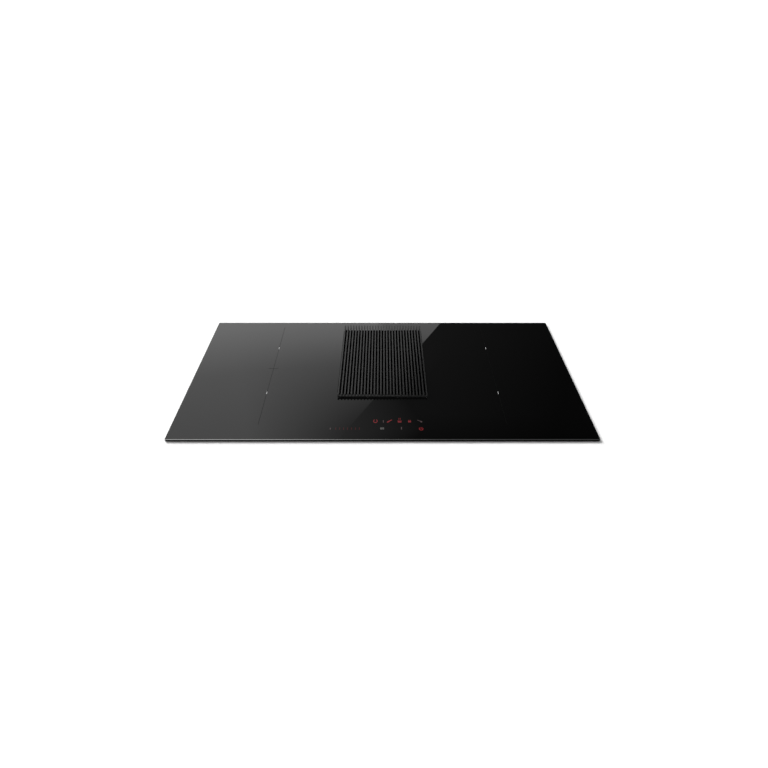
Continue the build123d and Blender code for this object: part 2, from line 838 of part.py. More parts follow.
# ================================================================== air shaft
ledge_top_z = shaft_top_z - ledge_depth
shaft_inner_radius = shaft_corner_radius - shaft_wall
flange_width = shaft_outer_width + 2 * shaft_flange_width
flange_length = shaft_outer_length + 2 * shaft_flange_width
with BuildPart() as air_shaft:
    with BuildSketch(Plane.XY.offset(shaft_bottom_z)):
        with Locations(vent_middle):
            RectangleRounded(shaft_outer_width, shaft_outer_length, shaft_corner_radius)
    extrude(amount=shaft_top_z - shaft_bottom_z)
    with BuildSketch(Plane.XY.offset(collar_top_z)):
        with Locations(vent_middle):
            RectangleRounded(flange_width, flange_length, shaft_corner_radius)
    extrude(amount=shaft_flange_thickness)
    with BuildSketch(Plane.XY.offset(shaft_bottom_z)):
        with Locations(vent_middle):
            RectangleRounded(shaft_width, shaft_length, shaft_inner_radius)
    extrude(amount=shaft_top_z - shaft_bottom_z, mode=Mode.SUBTRACT)
    # four ledges inside the shaft carry the drip tray's rim
    with BuildSketch(Plane.XY.offset(ledge_top_z - ledge_height)):
        with Locations(vent_middle), GridLocations(shaft_width - ledge_reach, shaft_length / 2, 2, 2):
            Rectangle(ledge_reach, ledge_length)
    extrude(amount=ledge_height)
save(air_shaft, "air_shaft")

with BuildPart() as shaft_seal:
    with BuildSketch(Plane.XY.offset(shaft_top_z)):
        with Locations(vent_middle):
            RectangleRounded(flange_width, flange_length, shaft_corner_radius)
            RectangleRounded(shaft_width, shaft_length, shaft_inner_radius, mode=Mode.SUBTRACT)
    extrude(amount=shaft_seal_thickness)
save(shaft_seal, "shaft_seal")

# ================================================================== drip tray
# The drip tray hangs in the shaft like a basket.  Its long sides are open: the two filters
# lean there in a V on rails, and what drips off them falls into the trough along the bottom.
basket_width = vent_width - 2 * basket_clearance
basket_length = vent_length - 2 * basket_clearance
basket_low_z = ledge_top_z + basket_rest_gap
basket_top_z = basket_low_z + basket_rim_height
basket_half = basket_width / 2 - basket_step
body_length = basket_length - 2 * basket_step

slope = radians(filter_angle)
filter_foot_x = basket_half - filter_side_gap - filter_width * cos(slope) - filter_thickness * sin(slope)
filter_foot_z = basket_top_z - filter_top_drop - filter_width * sin(slope)
trough_half = trough_width / 2
trough_top_z = filter_foot_z - trough_drop
trough_low_z = trough_top_z - trough_depth
rail_top = filter_thickness + filter_rest_gap
rail_under = rail_top + basket_wall


def across(along, below):
    """Point on the right side of the V: how far up the filter, and how far under its upper face."""
    x = filter_foot_x + along * cos(slope) + below * sin(slope)
    z = filter_foot_z + along * sin(slope) - below * cos(slope)
    return (x, z)


def along_at(x, below):
    """How far up the filter a line under it reaches a given distance from the middle."""
    return (x - filter_foot_x - below * sin(slope)) / cos(slope)


back_end_y = vent_centre_y + body_length / 2
with BuildPart() as drip_tray:
    with BuildSketch(Plane.XY.offset(basket_low_z)):
        with Locations(vent_middle):
            RectangleRounded(basket_width, basket_length, basket_corner_radius)
            Rectangle(2 * basket_half, body_length - 2 * basket_wall, mode=Mode.SUBTRACT)
    extrude(amount=basket_rim_height)
    # solid block of the trough and the two end walls, hollowed afterwards
    with BuildSketch(Plane.XZ.offset(-back_end_y), mode=Mode.PRIVATE) as trough_profile:
        with Locations((0, trough_low_z)):
            Rectangle(trough_width, trough_depth, align=(Align.CENTER, Align.MIN))
        fillet(trough_profile.vertices().group_by(Axis.Y)[0], trough_floor_radius)
    with BuildSketch(Plane.XZ.offset(-back_end_y), mode=Mode.PRIVATE) as end_profile:
        with BuildLine() as end_outline:
            Polyline(
                (0, basket_top_z),
                (basket_half, basket_top_z),
                across(along_at(basket_half, rail_under), rail_under),
                across(along_at(trough_half, rail_under), rail_under),
                (trough_half, trough_top_z),
                (trough_half, trough_low_z + trough_floor_radius),
                (0, trough_low_z + trough_floor_radius),
            )
            mirror(about=Plane.YZ)
        make_face()
        add(trough_profile.sketch_local)
    extrude(trough_profile.sketch, amount=body_length)
    with BuildSketch(Plane.XZ.offset(-back_end_y)):
        with Locations((0, trough_low_z + basket_wall)):
            Rectangle(trough_width - 2 * basket_wall, trough_depth, align=(Align.CENTER, Align.MIN))
    extrude(amount=body_length, mode=Mode.SUBTRACT)
    for end_y in (0, basket_wall - body_length):
        extrude(end_profile.sketch.moved(Location((0, end_y, 0))), amount=basket_wall)
    # rails on the end walls, with a stop at the foot of each filter
    with BuildSketch(Plane.XZ.offset(-back_end_y), mode=Mode.PRIVATE) as rail_profile:
        stop_face = -filter_rest_gap
        stop_back = stop_face - basket_wall
        with BuildLine():
            Polyline(
                across(stop_back, 0),
                across(stop_face, 0),
                across(stop_face, rail_top),
                across(filter_width - rail_top_gap, rail_top),
                across(filter_width - rail_top_gap, rail_under),
                across(stop_back, rail_under),
                close=True,
            )
        make_face()
        mirror(about=Plane.YZ)
    for end_y in (-basket_wall, basket_wall + rail_width - body_length):
        extrude(rail_profile.sketch.moved(Location((0, end_y, 0))), amount=rail_width)
save(drip_tray, "drip_tray")

# ================================================================== grease filters
# Each filter is drawn flat on its own plane: x runs up the slope, y runs along the filter
# and z points out of its upper face, towards the middle of the V.
filter_length = body_length - 2 * basket_wall - 2 * filter_end_gap
window_width = filter_width - 2 * filter_border
window_length = filter_length - 2 * filter_border
filter_planes = {}
for side, sign in (("left", -1), ("right", 1)):
    filter_planes[side] = Plane(
        (sign * filter_foot_x, vent_centre_y, filter_foot_z),
        x_dir=(sign * cos(slope), 0, sin(slope)),
        z_dir=(-sign * sin(slope), 0, cos(slope)),
    )
hinge_along = filter_width - filter_border / 2
hinge_lift = bail_wire_radius + bail_lift
ear_height = hinge_lift + bail_wire_radius + ear_wall
ear_middle = bail_width / 2 + bail_pin_length - ear_thickness / 2


def make_filter(side, plane):
    """One grease filter: rigid frame with ears, slotted mesh pack and wire pull bail."""
    with BuildPart() as filter_frame:
        with BuildSketch(plane):
            with Locations((filter_width / 2, 0)):
                Rectangle(filter_width, filter_length)
                Rectangle(window_width, window_length, mode=Mode.SUBTRACT)
        extrude(amount=-filter_thickness)
        with BuildSketch(plane):
            with Locations((hinge_along, 0)), GridLocations(1, 2 * ear_middle, 1, 2):
                Rectangle(ear_width, ear_thickness)
        extrude(amount=ear_height)
        hinge_plane = plane.offset(hinge_lift)
        bore_start = hinge_plane.location * Location((hinge_along, -ear_middle - ear_thickness, 0))
        with BuildSketch(Plane(bore_start) * Location((0, 0, 0), (-90, 0, 0))):
            Circle(bail_wire_radius + bail_clearance)
        extrude(amount=2 * (ear_middle + ear_thickness), mode=Mode.SUBTRACT)
    save(filter_frame, f"filter_frame_{side}")

    slot_rows = filter_row_count
    slot_columns = int((window_length - filter_slot_pitch) / filter_slot_pitch)
    with BuildPart() as filter_mesh:
        with BuildSketch(plane.offset(-filter_recess)):
            with Locations((filter_width / 2, 0)):
                Rectangle(window_width, window_length)
                with GridLocations(filter_row_pitch, filter_slot_pitch, slot_rows, slot_columns):
                    Rectangle(filter_slot_length, filter_slot_width, mode=Mode.SUBTRACT)
        extrude(amount=2 * filter_recess - filter_thickness)
    save(filter_mesh, f"filter_mesh_{side}")

    pin_end = bail_width / 2 + bail_pin_length
    with BuildPart() as filter_bail:
        with BuildLine(plane.offset(hinge_lift)) as bail_path:
            FilletPolyline(
                (hinge_along, -pin_end),
                (hinge_along, -bail_width / 2),
                (hinge_along - bail_reach, -bail_width / 2),
                (hinge_along - bail_reach, bail_width / 2),
                (hinge_along, bail_width / 2),
                (hinge_along, pin_end),
                radius=bail_bend_radius,
            )
        with BuildSketch(Plane(bail_path.line @ 0, z_dir=bail_path.line % 0)):
            Circle(bail_wire_radius)
        sweep(path=bail_path.line)
    save(filter_bail, f"filter_bail_{side}")


for side, plane in filter_planes.items():
    make_filter(side, plane)

# ================================================================== lower housing
housing_right_x = tray_width / 2 - housing_right_gap
housing_front_y = vent_centre_y - shaft_outer_length / 2 - housing_front_gap
housing_back_y = tray_length / 2 - housing_back_gap
housing_width = housing_right_x - housing_left_x
housing_length = housing_back_y - housing_front_y
housing_middle = ((housing_left_x + housing_right_x) / 2, (housing_front_y + housing_back_y) / 2)
housing_floor_z = cover_low_z - housing_height + housing_wall
lip_low_z = cover_low_z - lip_thickness
duct_x = housing_right_x - housing_corner_radius - duct_side_gap - duct_flange_width - duct_width / 2

scroll_floor_z = housing_floor_z + scroll_floor_gap
scroll_inner_z = scroll_floor_z + scroll_wall
scroll_inner_height = duct_height + 2 * duct_clearance
scroll_ceiling_z = scroll_inner_z + scroll_inner_height
scroll_top_z = scroll_ceiling_z + scroll_wall
duct_z = (scroll_inner_z + scroll_ceiling_z) / 2


def lip_screw_places():
    """Screw places round the housing's lip: three along the front and back, two at each side."""
    middle_x, middle_y = housing_middle
    span_x = housing_width + lip_width
    span_y = housing_length + lip_width
    along_x = GridLocations(lip_screw_pitch_x, span_y, 3, 2).locations
    along_y = GridLocations(span_x, lip_screw_pitch_y, 2, 2).locations
    return [Location((middle_x, middle_y, 0)) * place for place in along_x + along_y]


def gusset_planes():
    """Upright planes of the gussets: x points out from the housing's wall and y points up."""
    middle_x, middle_y = housing_middle
    sides = (
        ((middle_x, housing_front_y), (0, -1, 0), gusset_count_x),
        ((middle_x, housing_back_y), (0, 1, 0), gusset_count_x),
        ((housing_left_x, middle_y), (-1, 0, 0), gusset_count_y),
        ((housing_right_x, middle_y), (1, 0, 0), gusset_count_y),
    )
    planes = []
    for wall_middle, outward, count in sides:
        along = Vector(*outward).cross(Vector(0, 0, 1))
        for number in range(count):
            step = along * (number - (count - 1) / 2) * gusset_pitch
            planes.append(Plane(Vector(*wall_middle) + step, x_dir=outward, z_dir=along))
    return planes


with BuildPart() as housing_cover:
    with BuildSketch(Plane.XY.offset(cover_low_z)):
        with Locations(housing_middle):
            cover_radius = housing_corner_radius + lip_width
            RectangleRounded(housing_width + 2 * lip_width, housing_length + 2 * lip_width, cover_radius)
        with Locations(vent_middle):
            hole_width = shaft_outer_width + 2 * cover_clearance
            hole_length = shaft_outer_length + 2 * cover_clearance
            hole_radius = shaft_corner_radius + cover_clearance
            RectangleRounded(hole_width, hole_length, hole_radius, mode=Mode.SUBTRACT)
        with Locations(*lip_screw_places()):
            Circle(screw_hole_radius, mode=Mode.SUBTRACT)
    extrude(amount=cover_thickness)
save(housing_cover, "housing_cover")

with BuildPart() as lower_housing:
    with BuildSketch(Plane.XY.offset(cover_low_z)):
        with Locations(housing_middle):
            RectangleRounded(housing_width, housing_length, housing_corner_radius)
    extrude(amount=-housing_height)
    fillet(lower_housing.faces().sort_by(Axis.Z)[0].edges(), housing_floor_radius)
    housing_mouth = lower_housing.faces().sort_by(Axis.Z)[-1]
    offset(amount=-housing_wall, openings=housing_mouth)
    with BuildSketch(Plane.XY.offset(lip_low_z)):
        with Locations(housing_middle):
            RectangleRounded(housing_width + 2 * lip_width, housing_length + 2 * lip_width, cover_radius)
            inner_radius = housing_corner_radius - housing_wall
            inner_width = housing_width - 2 * housing_wall
            RectangleRounded(inner_width, housing_length - 2 * housing_wall, inner_radius, mode=Mode.SUBTRACT)
        with Locations(*lip_screw_places()):
            Circle(screw_hole_radius, mode=Mode.SUBTRACT)
    extrude(amount=lip_thickness)
    # gussets stiffen the lip between its screws
    with BuildSketch(*gusset_planes()):
        Polygon(
            (-housing_wall / 2, lip_low_z),
            (gusset_reach, lip_low_z),
            (gusset_reach, lip_low_z - lip_thickness),
            (0, lip_low_z - gusset_height),
            (-housing_wall / 2, lip_low_z - gusset_height),
            align=None,
        )
    extrude(amount=gusset_thickness / 2, both=True)
    # the floor's underside is moulded as thinner panels between flat ribs
    panel_pitch_x = (housing_width - 2 * housing_floor_radius) / floor_panel_count_x
    panel_pitch_y = (housing_length - 2 * housing_floor_radius) / floor_panel_count_y
    with BuildSketch(Plane.XY.offset(cover_low_z - housing_height)):
        with Locations(housing_middle):
            with GridLocations(panel_pitch_x, panel_pitch_y, floor_panel_count_x, floor_panel_count_y):
                panel_width = panel_pitch_x - floor_rib_width
                RectangleRounded(panel_width, panel_pitch_y - floor_rib_width, floor_panel_radius)
    extrude(amount=floor_panel_depth, mode=Mode.SUBTRACT)
    # window for the duct spigot in the back wall
    with BuildSketch(Plane.XZ.offset(-housing_back_y)):
        with Locations((duct_x, duct_z)):
            window_radius = duct_corner_radius + duct_clearance
            RectangleRounded(duct_width + 2 * duct_clearance, scroll_inner_height, window_radius)
    extrude(amount=housing_wall, mode=Mode.SUBTRACT)
save(lower_housing, "lower_housing")

# ================================================================== blower scroll
# Seen from above, the scroll's wall is three quarter arcs whose radius grows by the same
# step each time.  It then runs straight back, and the outlet widens to the duct's width.
scroll_start_radius = impeller_radius + tongue_gap + scroll_growth / 2
outlet_right_x = duct_x + duct_width / 2 + duct_clearance
outlet_left_x = duct_x - duct_width / 2 - duct_clearance
outlet_back_y = housing_back_y - housing_wall - scroll_back_gap
wheel_x = outlet_right_x - scroll_growth / 2 - (scroll_start_radius + 2 * scroll_growth)
wheel_front = scroll_start_radius + scroll_growth + scroll_growth / 2
wheel_y = housing_front_y + housing_wall + blower_front_gap + scroll_wall + wheel_front


with BuildSketch() as scroll_air:
    half = scroll_growth / 2
    with BuildLine():
        left_arc = CenterArc((wheel_x - half, wheel_y - half), scroll_start_radius, 90, 90)
        front_radius = scroll_start_radius + scroll_growth
        CenterArc((wheel_x + half, wheel_y - half), front_radius, 180, 90)
        right_radius = front_radius + scroll_growth
        right_arc = CenterArc((wheel_x + half, wheel_y + half), right_radius, 270, 90)
        Polyline(
            right_arc @ 1,
            (outlet_right_x, outlet_back_y),
            (outlet_left_x, outlet_back_y),
            (outlet_left_x, outlet_back_y - outlet_straight),
            left_arc @ 0,
        )
    make_face()
    tongue = scroll_air.vertices().sort_by_distance(left_arc @ 0)[0]
    fillet(tongue, tongue_radius)


def scroll_shell(level, growth):
    """Outline of the scroll grown by a wall, and cut off square at the outlet."""
    with BuildSketch(Plane.XY.offset(level)) as shell:
        add(scroll_air.sketch_local)
        offset(amount=growth, kind=Kind.INTERSECTION)
        with Locations((duct_x, outlet_back_y)):
            Rectangle(2 * duct_width, 2 * growth, align=(Align.CENTER, Align.MIN), mode=Mode.SUBTRACT)
    return shell.sketch


ceiling_hole_radius = impeller_eye_radius - bellmouth_gap + bellmouth_radius
scroll_levels = {
    "scroll_lower": (scroll_floor_z, scroll_inner_z, duct_z, duct_z - scroll_lip_thickness),
    "scroll_upper": (scroll_top_z, scroll_ceiling_z, duct_z, duct_z + scroll_lip_thickness),
}
for label, (outer_z, inner_z, split_z, lip_z) in scroll_levels.items():
    with BuildPart() as scroll_half:
        extrude(scroll_shell(outer_z, scroll_wall), amount=split_z - outer_z)
        extrude(scroll_shell(lip_z, scroll_wall + scroll_lip_width), amount=split_z - lip_z)
        air = scroll_air.sketch.moved(Location((0, 0, inner_z)))
        extrude(air, amount=split_z - inner_z, mode=Mode.SUBTRACT)
        if label == "scroll_upper":
            with BuildSketch(Plane.XY.offset(inner_z)):
                with Locations((wheel_x, wheel_y)):
                    Circle(ceiling_hole_radius)
            extrude(amount=scroll_wall, mode=Mode.SUBTRACT)
    save(scroll_half, label)

# ================================================================== blower wheel and inlet
def wheel_level(height):
    """Level plane on the wheel's axis, at a height above the scroll's inner floor."""
    return Plane((wheel_x, wheel_y, scroll_inner_z + height))


def ring(height, outer, inner):
    """Flat ring round the wheel's axis, at a height above the scroll's inner floor."""
    with BuildSketch(wheel_level(height)) as flat_ring:
        Circle(outer)
        Circle(inner, mode=Mode.SUBTRACT)
    return flat_ring.sketch


# The inlet ring turns the air smoothly down into the wheel's eye.
throat_radius = impeller_eye_radius - bellmouth_gap
dip_z = impeller_floor_gap + impeller_height - bellmouth_dip
flange_under = scroll_inner_height + scroll_wall
with BuildPart() as inlet_ring:
    with BuildSketch(Plane((wheel_x, wheel_y, scroll_inner_z), x_dir=(1, 0, 0), z_dir=(0, -1, 0))):
        with BuildLine():
            arc_centre = (ceiling_hole_radius, flange_under - bellmouth_radius)
            under_arc = CenterArc(arc_centre, bellmouth_radius, 90, 90)
            upper_arc = CenterArc(arc_centre, bellmouth_radius + bellmouth_wall, 90, 90)
            rim = ceiling_hole_radius + bellmouth_flange
            Polyline(under_arc @ 0, (rim, flange_under), (rim, flange_under + bellmouth_wall), upper_arc @ 0)
            Polyline(
                under_arc @ 1,
                (throat_radius, dip_z),
                (throat_radius - bellmouth_wall, dip_z),
                upper_arc @ 1,
            )
        make_face()
    revolve(axis=Axis((wheel_x, wheel_y, 0), (0, 0, 1)))
save(inlet_ring, "inlet_ring")


def polar(radius, angle):
    """Point at a radius and an angle in degrees."""
    return (radius * cos(radians(angle)), radius * sin(radians(angle)))


wheel_top = impeller_floor_gap + impeller_height
blade_middle_radius = (impeller_eye_radius + impeller_radius) / 2
with BuildPart() as impeller:
    extrude(ring(impeller_floor_gap, impeller_radius, motor_radius), amount=impeller_plate)
    sleeve = ring(impeller_floor_gap, motor_radius + impeller_plate, motor_radius)
    extrude(sleeve, amount=impeller_sleeve_height)
    top_ring = ring(wheel_top - impeller_ring_height, impeller_radius, impeller_radius - impeller_ring_width)
    extrude(top_ring, amount=impeller_ring_height)
    # forward-curved blades: each is the band between an arc and the same arc turned a little
    with BuildSketch(mode=Mode.PRIVATE) as blade:
        with BuildLine():
            tip_radius = impeller_radius - impeller_plate / 4
            edges = []
            for turn in (0, blade_turn):
                edges.append(
                    ThreePointArc(
                        polar(impeller_eye_radius, turn),
                        polar(blade_middle_radius, turn + blade_bulge_angle),
                        polar(tip_radius, turn + blade_lead_angle),
                    )
                )
            Line(edges[0] @ 0, edges[1] @ 0)
            Line(edges[0] @ 1, edges[1] @ 1)
        make_face()
    with BuildSketch(wheel_level(impeller_floor_gap)):
        with PolarLocations(0, blade_count):
            add(blade.sketch)
    extrude(amount=wheel_top - impeller_floor_gap)
save(impeller, "impeller")

# ================================================================== blower motor
# The motor's can turns round its stator and carries the wheel.
can_low = impeller_floor_gap
can_top = can_low + motor_can_height
can_inner = motor_radius - motor_can_wall
with BuildPart() as motor_rotor:
    with BuildSketch(wheel_level(can_low)):
        Circle(motor_radius)
    extrude(amount=motor_can_height)
    with BuildSketch(wheel_level(can_low)):
        Circle(can_inner)
    extrude(amount=motor_can_height - motor_can_wall, mode=Mode.SUBTRACT)
    chamfer(motor_rotor.faces().sort_by(Axis.Z)[-1].edges(), length=motor_can_wall / 2)
save(motor_rotor, "motor_rotor")

with BuildPart() as motor_magnets:
    extrude(ring(can_low + magnet_lift, can_inner, can_inner - magnet_thickness), amount=magnet_height)
save(motor_magnets, "motor_magnets")

with BuildPart() as motor_shaft:
    with BuildSketch(wheel_level(motor_flange_thickness + shaft_end_gap)):
        Circle(motor_shaft_radius)
    extrude(amount=can_top - motor_can_wall - motor_flange_thickness - shaft_end_gap)
save(motor_shaft, "motor_shaft")

with BuildPart() as motor_flange:
    with BuildSketch(wheel_level(0)):
        Circle(motor_flange_radius)
    extrude(amount=motor_flange_thickness)
    tube = ring(motor_flange_thickness, bearing_tube_radius, bearing_radius)
    extrude(tube, amount=bearing_tube_height)
save(motor_flange, "motor_flange")

stator_radius = can_inner - magnet_thickness - motor_air_gap
with BuildPart() as motor_stator:
    with BuildSketch(wheel_level(stator_lift)):
        Circle(stator_radius)
        Circle(bearing_tube_radius, mode=Mode.SUBTRACT)
        slot_start = bearing_tube_radius + stator_back_width
        slot_middle = (slot_start + stator_radius) / 2
        with PolarLocations(slot_middle, stator_slot_count):
            Rectangle(stator_radius - slot_start, stator_slot_width, mode=Mode.SUBTRACT)
    extrude(amount=stator_height)
save(motor_stator, "motor_stator")

with BuildPart() as motor_bearings:
    for height in (motor_flange_thickness, motor_flange_thickness + bearing_tube_height - bearing_height):
        bearing = ring(height, bearing_radius, motor_shaft_radius + bearing_clearance)
        extrude(bearing, amount=bearing_height)
save(motor_bearings, "motor_bearings")

# Rubber isolators with a waist carry the whole blower on the housing's floor.
with BuildPart() as isolators:
    with BuildSketch(Plane.XY.offset(housing_floor_z)):
        with Locations((wheel_x, wheel_y)), GridLocations(2 * isolator_spread, 2 * isolator_spread, 2, 2):
            Circle(isolator_radius)
    extrude(amount=scroll_floor_gap)
    with BuildSketch(Plane.XY.offset(housing_floor_z + scroll_floor_gap / 3)):
        with Locations((wheel_x, wheel_y)), GridLocations(2 * isolator_spread, 2 * isolator_spread, 2, 2):
            Circle(isolator_radius)
            Circle(isolator_radius - isolator_waist, mode=Mode.SUBTRACT)
    extrude(amount=scroll_floor_gap / 3, mode=Mode.SUBTRACT)
save(isolators, "isolators")

# ================================================================== duct spigot
with BuildPart() as duct_spigot:
    spigot_front_y = outlet_back_y - duct_overlap
    spigot_back_y = housing_back_y + duct_reach
    spigot_length = spigot_back_y - spigot_front_y
    with BuildSketch(Plane.XZ.offset(-spigot_back_y)):
        with Locations((duct_x, duct_z)):
            RectangleRounded(duct_width, duct_height, duct_corner_radius)
    extrude(amount=spigot_length)
    with BuildSketch(Plane.XZ.offset(-housing_back_y - duct_flange_thickness)):
        with Locations((duct_x, duct_z)):
            spigot_flange_width = duct_width + 2 * duct_flange_width
            spigot_flange_height = duct_height + 2 * duct_flange_width
            RectangleRounded(spigot_flange_width, spigot_flange_height, duct_corner_radius)
    extrude(amount=duct_flange_thickness)
    with BuildSketch(Plane.XZ.offset(-spigot_back_y)):
        with Locations((duct_x, duct_z)):
            inner_radius = duct_corner_radius - duct_wall
            RectangleRounded(duct_width - 2 * duct_wall, duct_height - 2 * duct_wall, inner_radius)
    extrude(amount=spigot_length, mode=Mode.SUBTRACT)
save(duct_spigot, "duct_spigot")

# ================================================================== mains box
mains_x = -(tray_width / 2 - mains_box_side_gap - mains_box_width / 2)
mains_back_y = tray_length / 2 - mains_box_back_gap
mains_middle = (mains_x, mains_back_y - mains_box_length / 2)
mains_low_z = tray_bottom_z - mains_box_height
gland_z = tray_bottom_z - mains_box_height / 2


def lid_screw_places():
    """Screw places in the four corners of the mains box."""
    pitch_x = mains_box_width - 2 * mains_boss_inset
    pitch_y = mains_box_length - 2 * mains_boss_inset
    corners = GridLocations(pitch_x, pitch_y, 2, 2)
    return [Location((*mains_middle, 0)) * corner for corner in corners]


with BuildPart() as mains_box:
    with BuildSketch(Plane.XY.offset(mains_low_z + mains_box_wall)):
        with Locations(mains_middle):
            RectangleRounded(mains_box_width, mains_box_length, mains_box_corner_radius)
    extrude(amount=mains_box_height - mains_box_wall)
    offset(amount=-mains_box_wall, openings=mains_box.faces().sort_by(Axis.Z)[0])
    # bosses in the corners take the lid's screws
    with BuildSketch(Plane.XY.offset(mains_low_z + mains_box_wall)):
        with Locations(*lid_screw_places()):
            Circle(mains_boss_radius)
            Circle(screw_hole_radius, mode=Mode.SUBTRACT)
    extrude(amount=mains_box_height - 2 * mains_box_wall)
    with BuildSketch(Plane.XZ.offset(-mains_back_y)):
        with Locations((mains_x, gland_z)):
            Circle(gland_body_radius + gland_clearance)
    extrude(amount=mains_box_wall, mode=Mode.SUBTRACT)
save(mains_box, "mains_box")

with BuildPart() as mains_box_lid:
    with BuildSketch(Plane.XY.offset(mains_low_z)):
        with Locations(mains_middle):
            RectangleRounded(mains_box_width, mains_box_length, mains_box_corner_radius)
    extrude(amount=mains_box_wall)
    chamfer(mains_box_lid.faces().sort_by(Axis.Z)[0].edges(), length=mains_box_wall / 3)
    with BuildSketch(Plane.XY.offset(mains_low_z)):
        with Locations(*lid_screw_places()):
            Circle(screw_hole_radius)
    extrude(amount=mains_box_wall, mode=Mode.SUBTRACT)
save(mains_box_lid, "mains_box_lid")

# The gland's body goes through the wall, its nut bears on the outside, and the cap closes it.
with BuildPart() as cable_gland:
    with BuildSketch(Plane.XZ.offset(-mains_back_y)):
        with Locations((mains_x, gland_z)):
            Circle(gland_body_radius)
    extrude(amount=gland_inner_length)
    with BuildSketch(Plane.XZ.offset(-mains_back_y)):
        with Locations((mains_x, gland_z)):
            RegularPolygon(gland_nut_radius, 6)
    extrude(amount=-gland_nut_length)
    with BuildSketch(Plane.XZ.offset(-mains_back_y - gland_nut_length)):
        with Locations((mains_x, gland_z)):
            Circle(gland_cap_radius)
    extrude(amount=-gland_cap_length)
    nose = gland_cap_radius - gland_bore_radius - gland_rim
    chamfer(cable_gland.faces().sort_by(Axis.Y)[-1].edges(), length=nose)
    with BuildSketch(Plane.XZ.offset(gland_inner_length - mains_back_y)):
        with Locations((mains_x, gland_z)):
            Circle(gland_bore_radius)
    extrude(amount=-(gland_inner_length + gland_nut_length + gland_cap_length), mode=Mode.SUBTRACT)
save(cable_gland, "cable_gland")

terminal_top_z = tray_bottom_z - mains_box_wall
with BuildPart() as terminal_block:
    with BuildSketch(Plane.XY.offset(terminal_top_z)):
        with Locations(mains_middle):
            Rectangle(terminal_width, terminal_length)
    extrude(amount=-terminal_height)
    way_pitch = terminal_width / terminal_ways
    with BuildSketch(Plane.XZ.offset(-mains_middle[1] - terminal_length / 2)):
        with Locations((mains_x, terminal_top_z - terminal_height / 2)):
            with GridLocations(way_pitch, 1, terminal_ways, 1):
                Circle(terminal_way_radius)
    extrude(amount=terminal_length, mode=Mode.SUBTRACT)
save(terminal_block, "terminal_block")

# ================================================================== control box of the blower
with BuildPart() as control_box:
    with BuildSketch(Plane.XY.offset(tray_bottom_z)):
        with Locations(control_middle):
            RectangleRounded(control_box_width, control_box_length, control_box_radius)
    extrude(amount=-control_box_height)
    fillet(control_box.faces().sort_by(Axis.Z)[0].edges(), control_box_radius / 2)
    with BuildSketch(Plane.XY.offset(tray_bottom_z)):
        with Locations(control_middle), GridLocations(1, control_box_length, 1, 2):
            ear_radius = control_box_ear_width / 4
            RectangleRounded(control_box_ear_width, 2 * control_box_ear_reach, ear_radius)
        with Locations(control_middle), GridLocations(1, control_screw_pitch, 1, 2):
            Circle(screw_hole_radius, mode=Mode.SUBTRACT)
    extrude(amount=-control_box_ear_thickness)
    # sockets for the leads, on the side towards the blower
    with BuildSketch(Plane.YZ.offset(control_middle[0] + control_box_width / 2)):
        with Locations((control_middle[1], tray_bottom_z - control_box_height / 2)):
            with GridLocations(socket_pitch, 1, socket_count, 1):
                Rectangle(socket_width, socket_height)
    extrude(amount=-socket_depth, mode=Mode.SUBTRACT)
save(control_box, "control_box")

# All screws that are driven from below: ten through the housing's lip into its cover, two
# through the control box's ears into the tray, and four through the mains box's lid.
with BuildPart() as underside_screws:
    ear_row = GridLocations(1, control_screw_pitch, 1, 2)
    ear_places = [Location((*control_middle, 0)) * place for place in ear_row]
    ear_low_z = tray_bottom_z - control_box_ear_thickness
    screw_rows = (
        (lip_screw_places(), lip_low_z, lip_thickness + cover_thickness),
        (ear_places, ear_low_z, control_box_ear_thickness + sheet + screw_tip),
        (lid_screw_places(), mains_low_z, mains_screw_length),
    )
    for places, seat_z, shank_length in screw_rows:
        with BuildSketch(Plane.XY.offset(seat_z)):
            with Locations(*places):
                Circle(screw_head_radius)
        extrude(amount=-screw_head_height)
        with BuildSketch(Plane.XY.offset(seat_z)):
            with Locations(*places):
                Circle(screw_radius)
        extrude(amount=shank_length)
save(underside_screws, "underside_screws")
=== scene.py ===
# %% [markdown]
# # A downdraft induction cooktop
#
# The cooktop is one sheet of black glass ceramic that lies on a worktop, with a slatted grille
# over the hole that the kitchen's steam is drawn into.  Under the glass there are a steel tray
# with the coils and the power boards, an air shaft with two grease filters, and a plastic
# housing with the blower.
#
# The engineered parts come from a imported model, and this script gives them their looks.  It
# keeps every part where it is, and adds only what a workshop drawing leaves out: broken edges,
# the print on the glass, the touch symbols, the expanded metal of the filters and the drives of
# the screws.

import json
from math import cos, pi, radians, sin

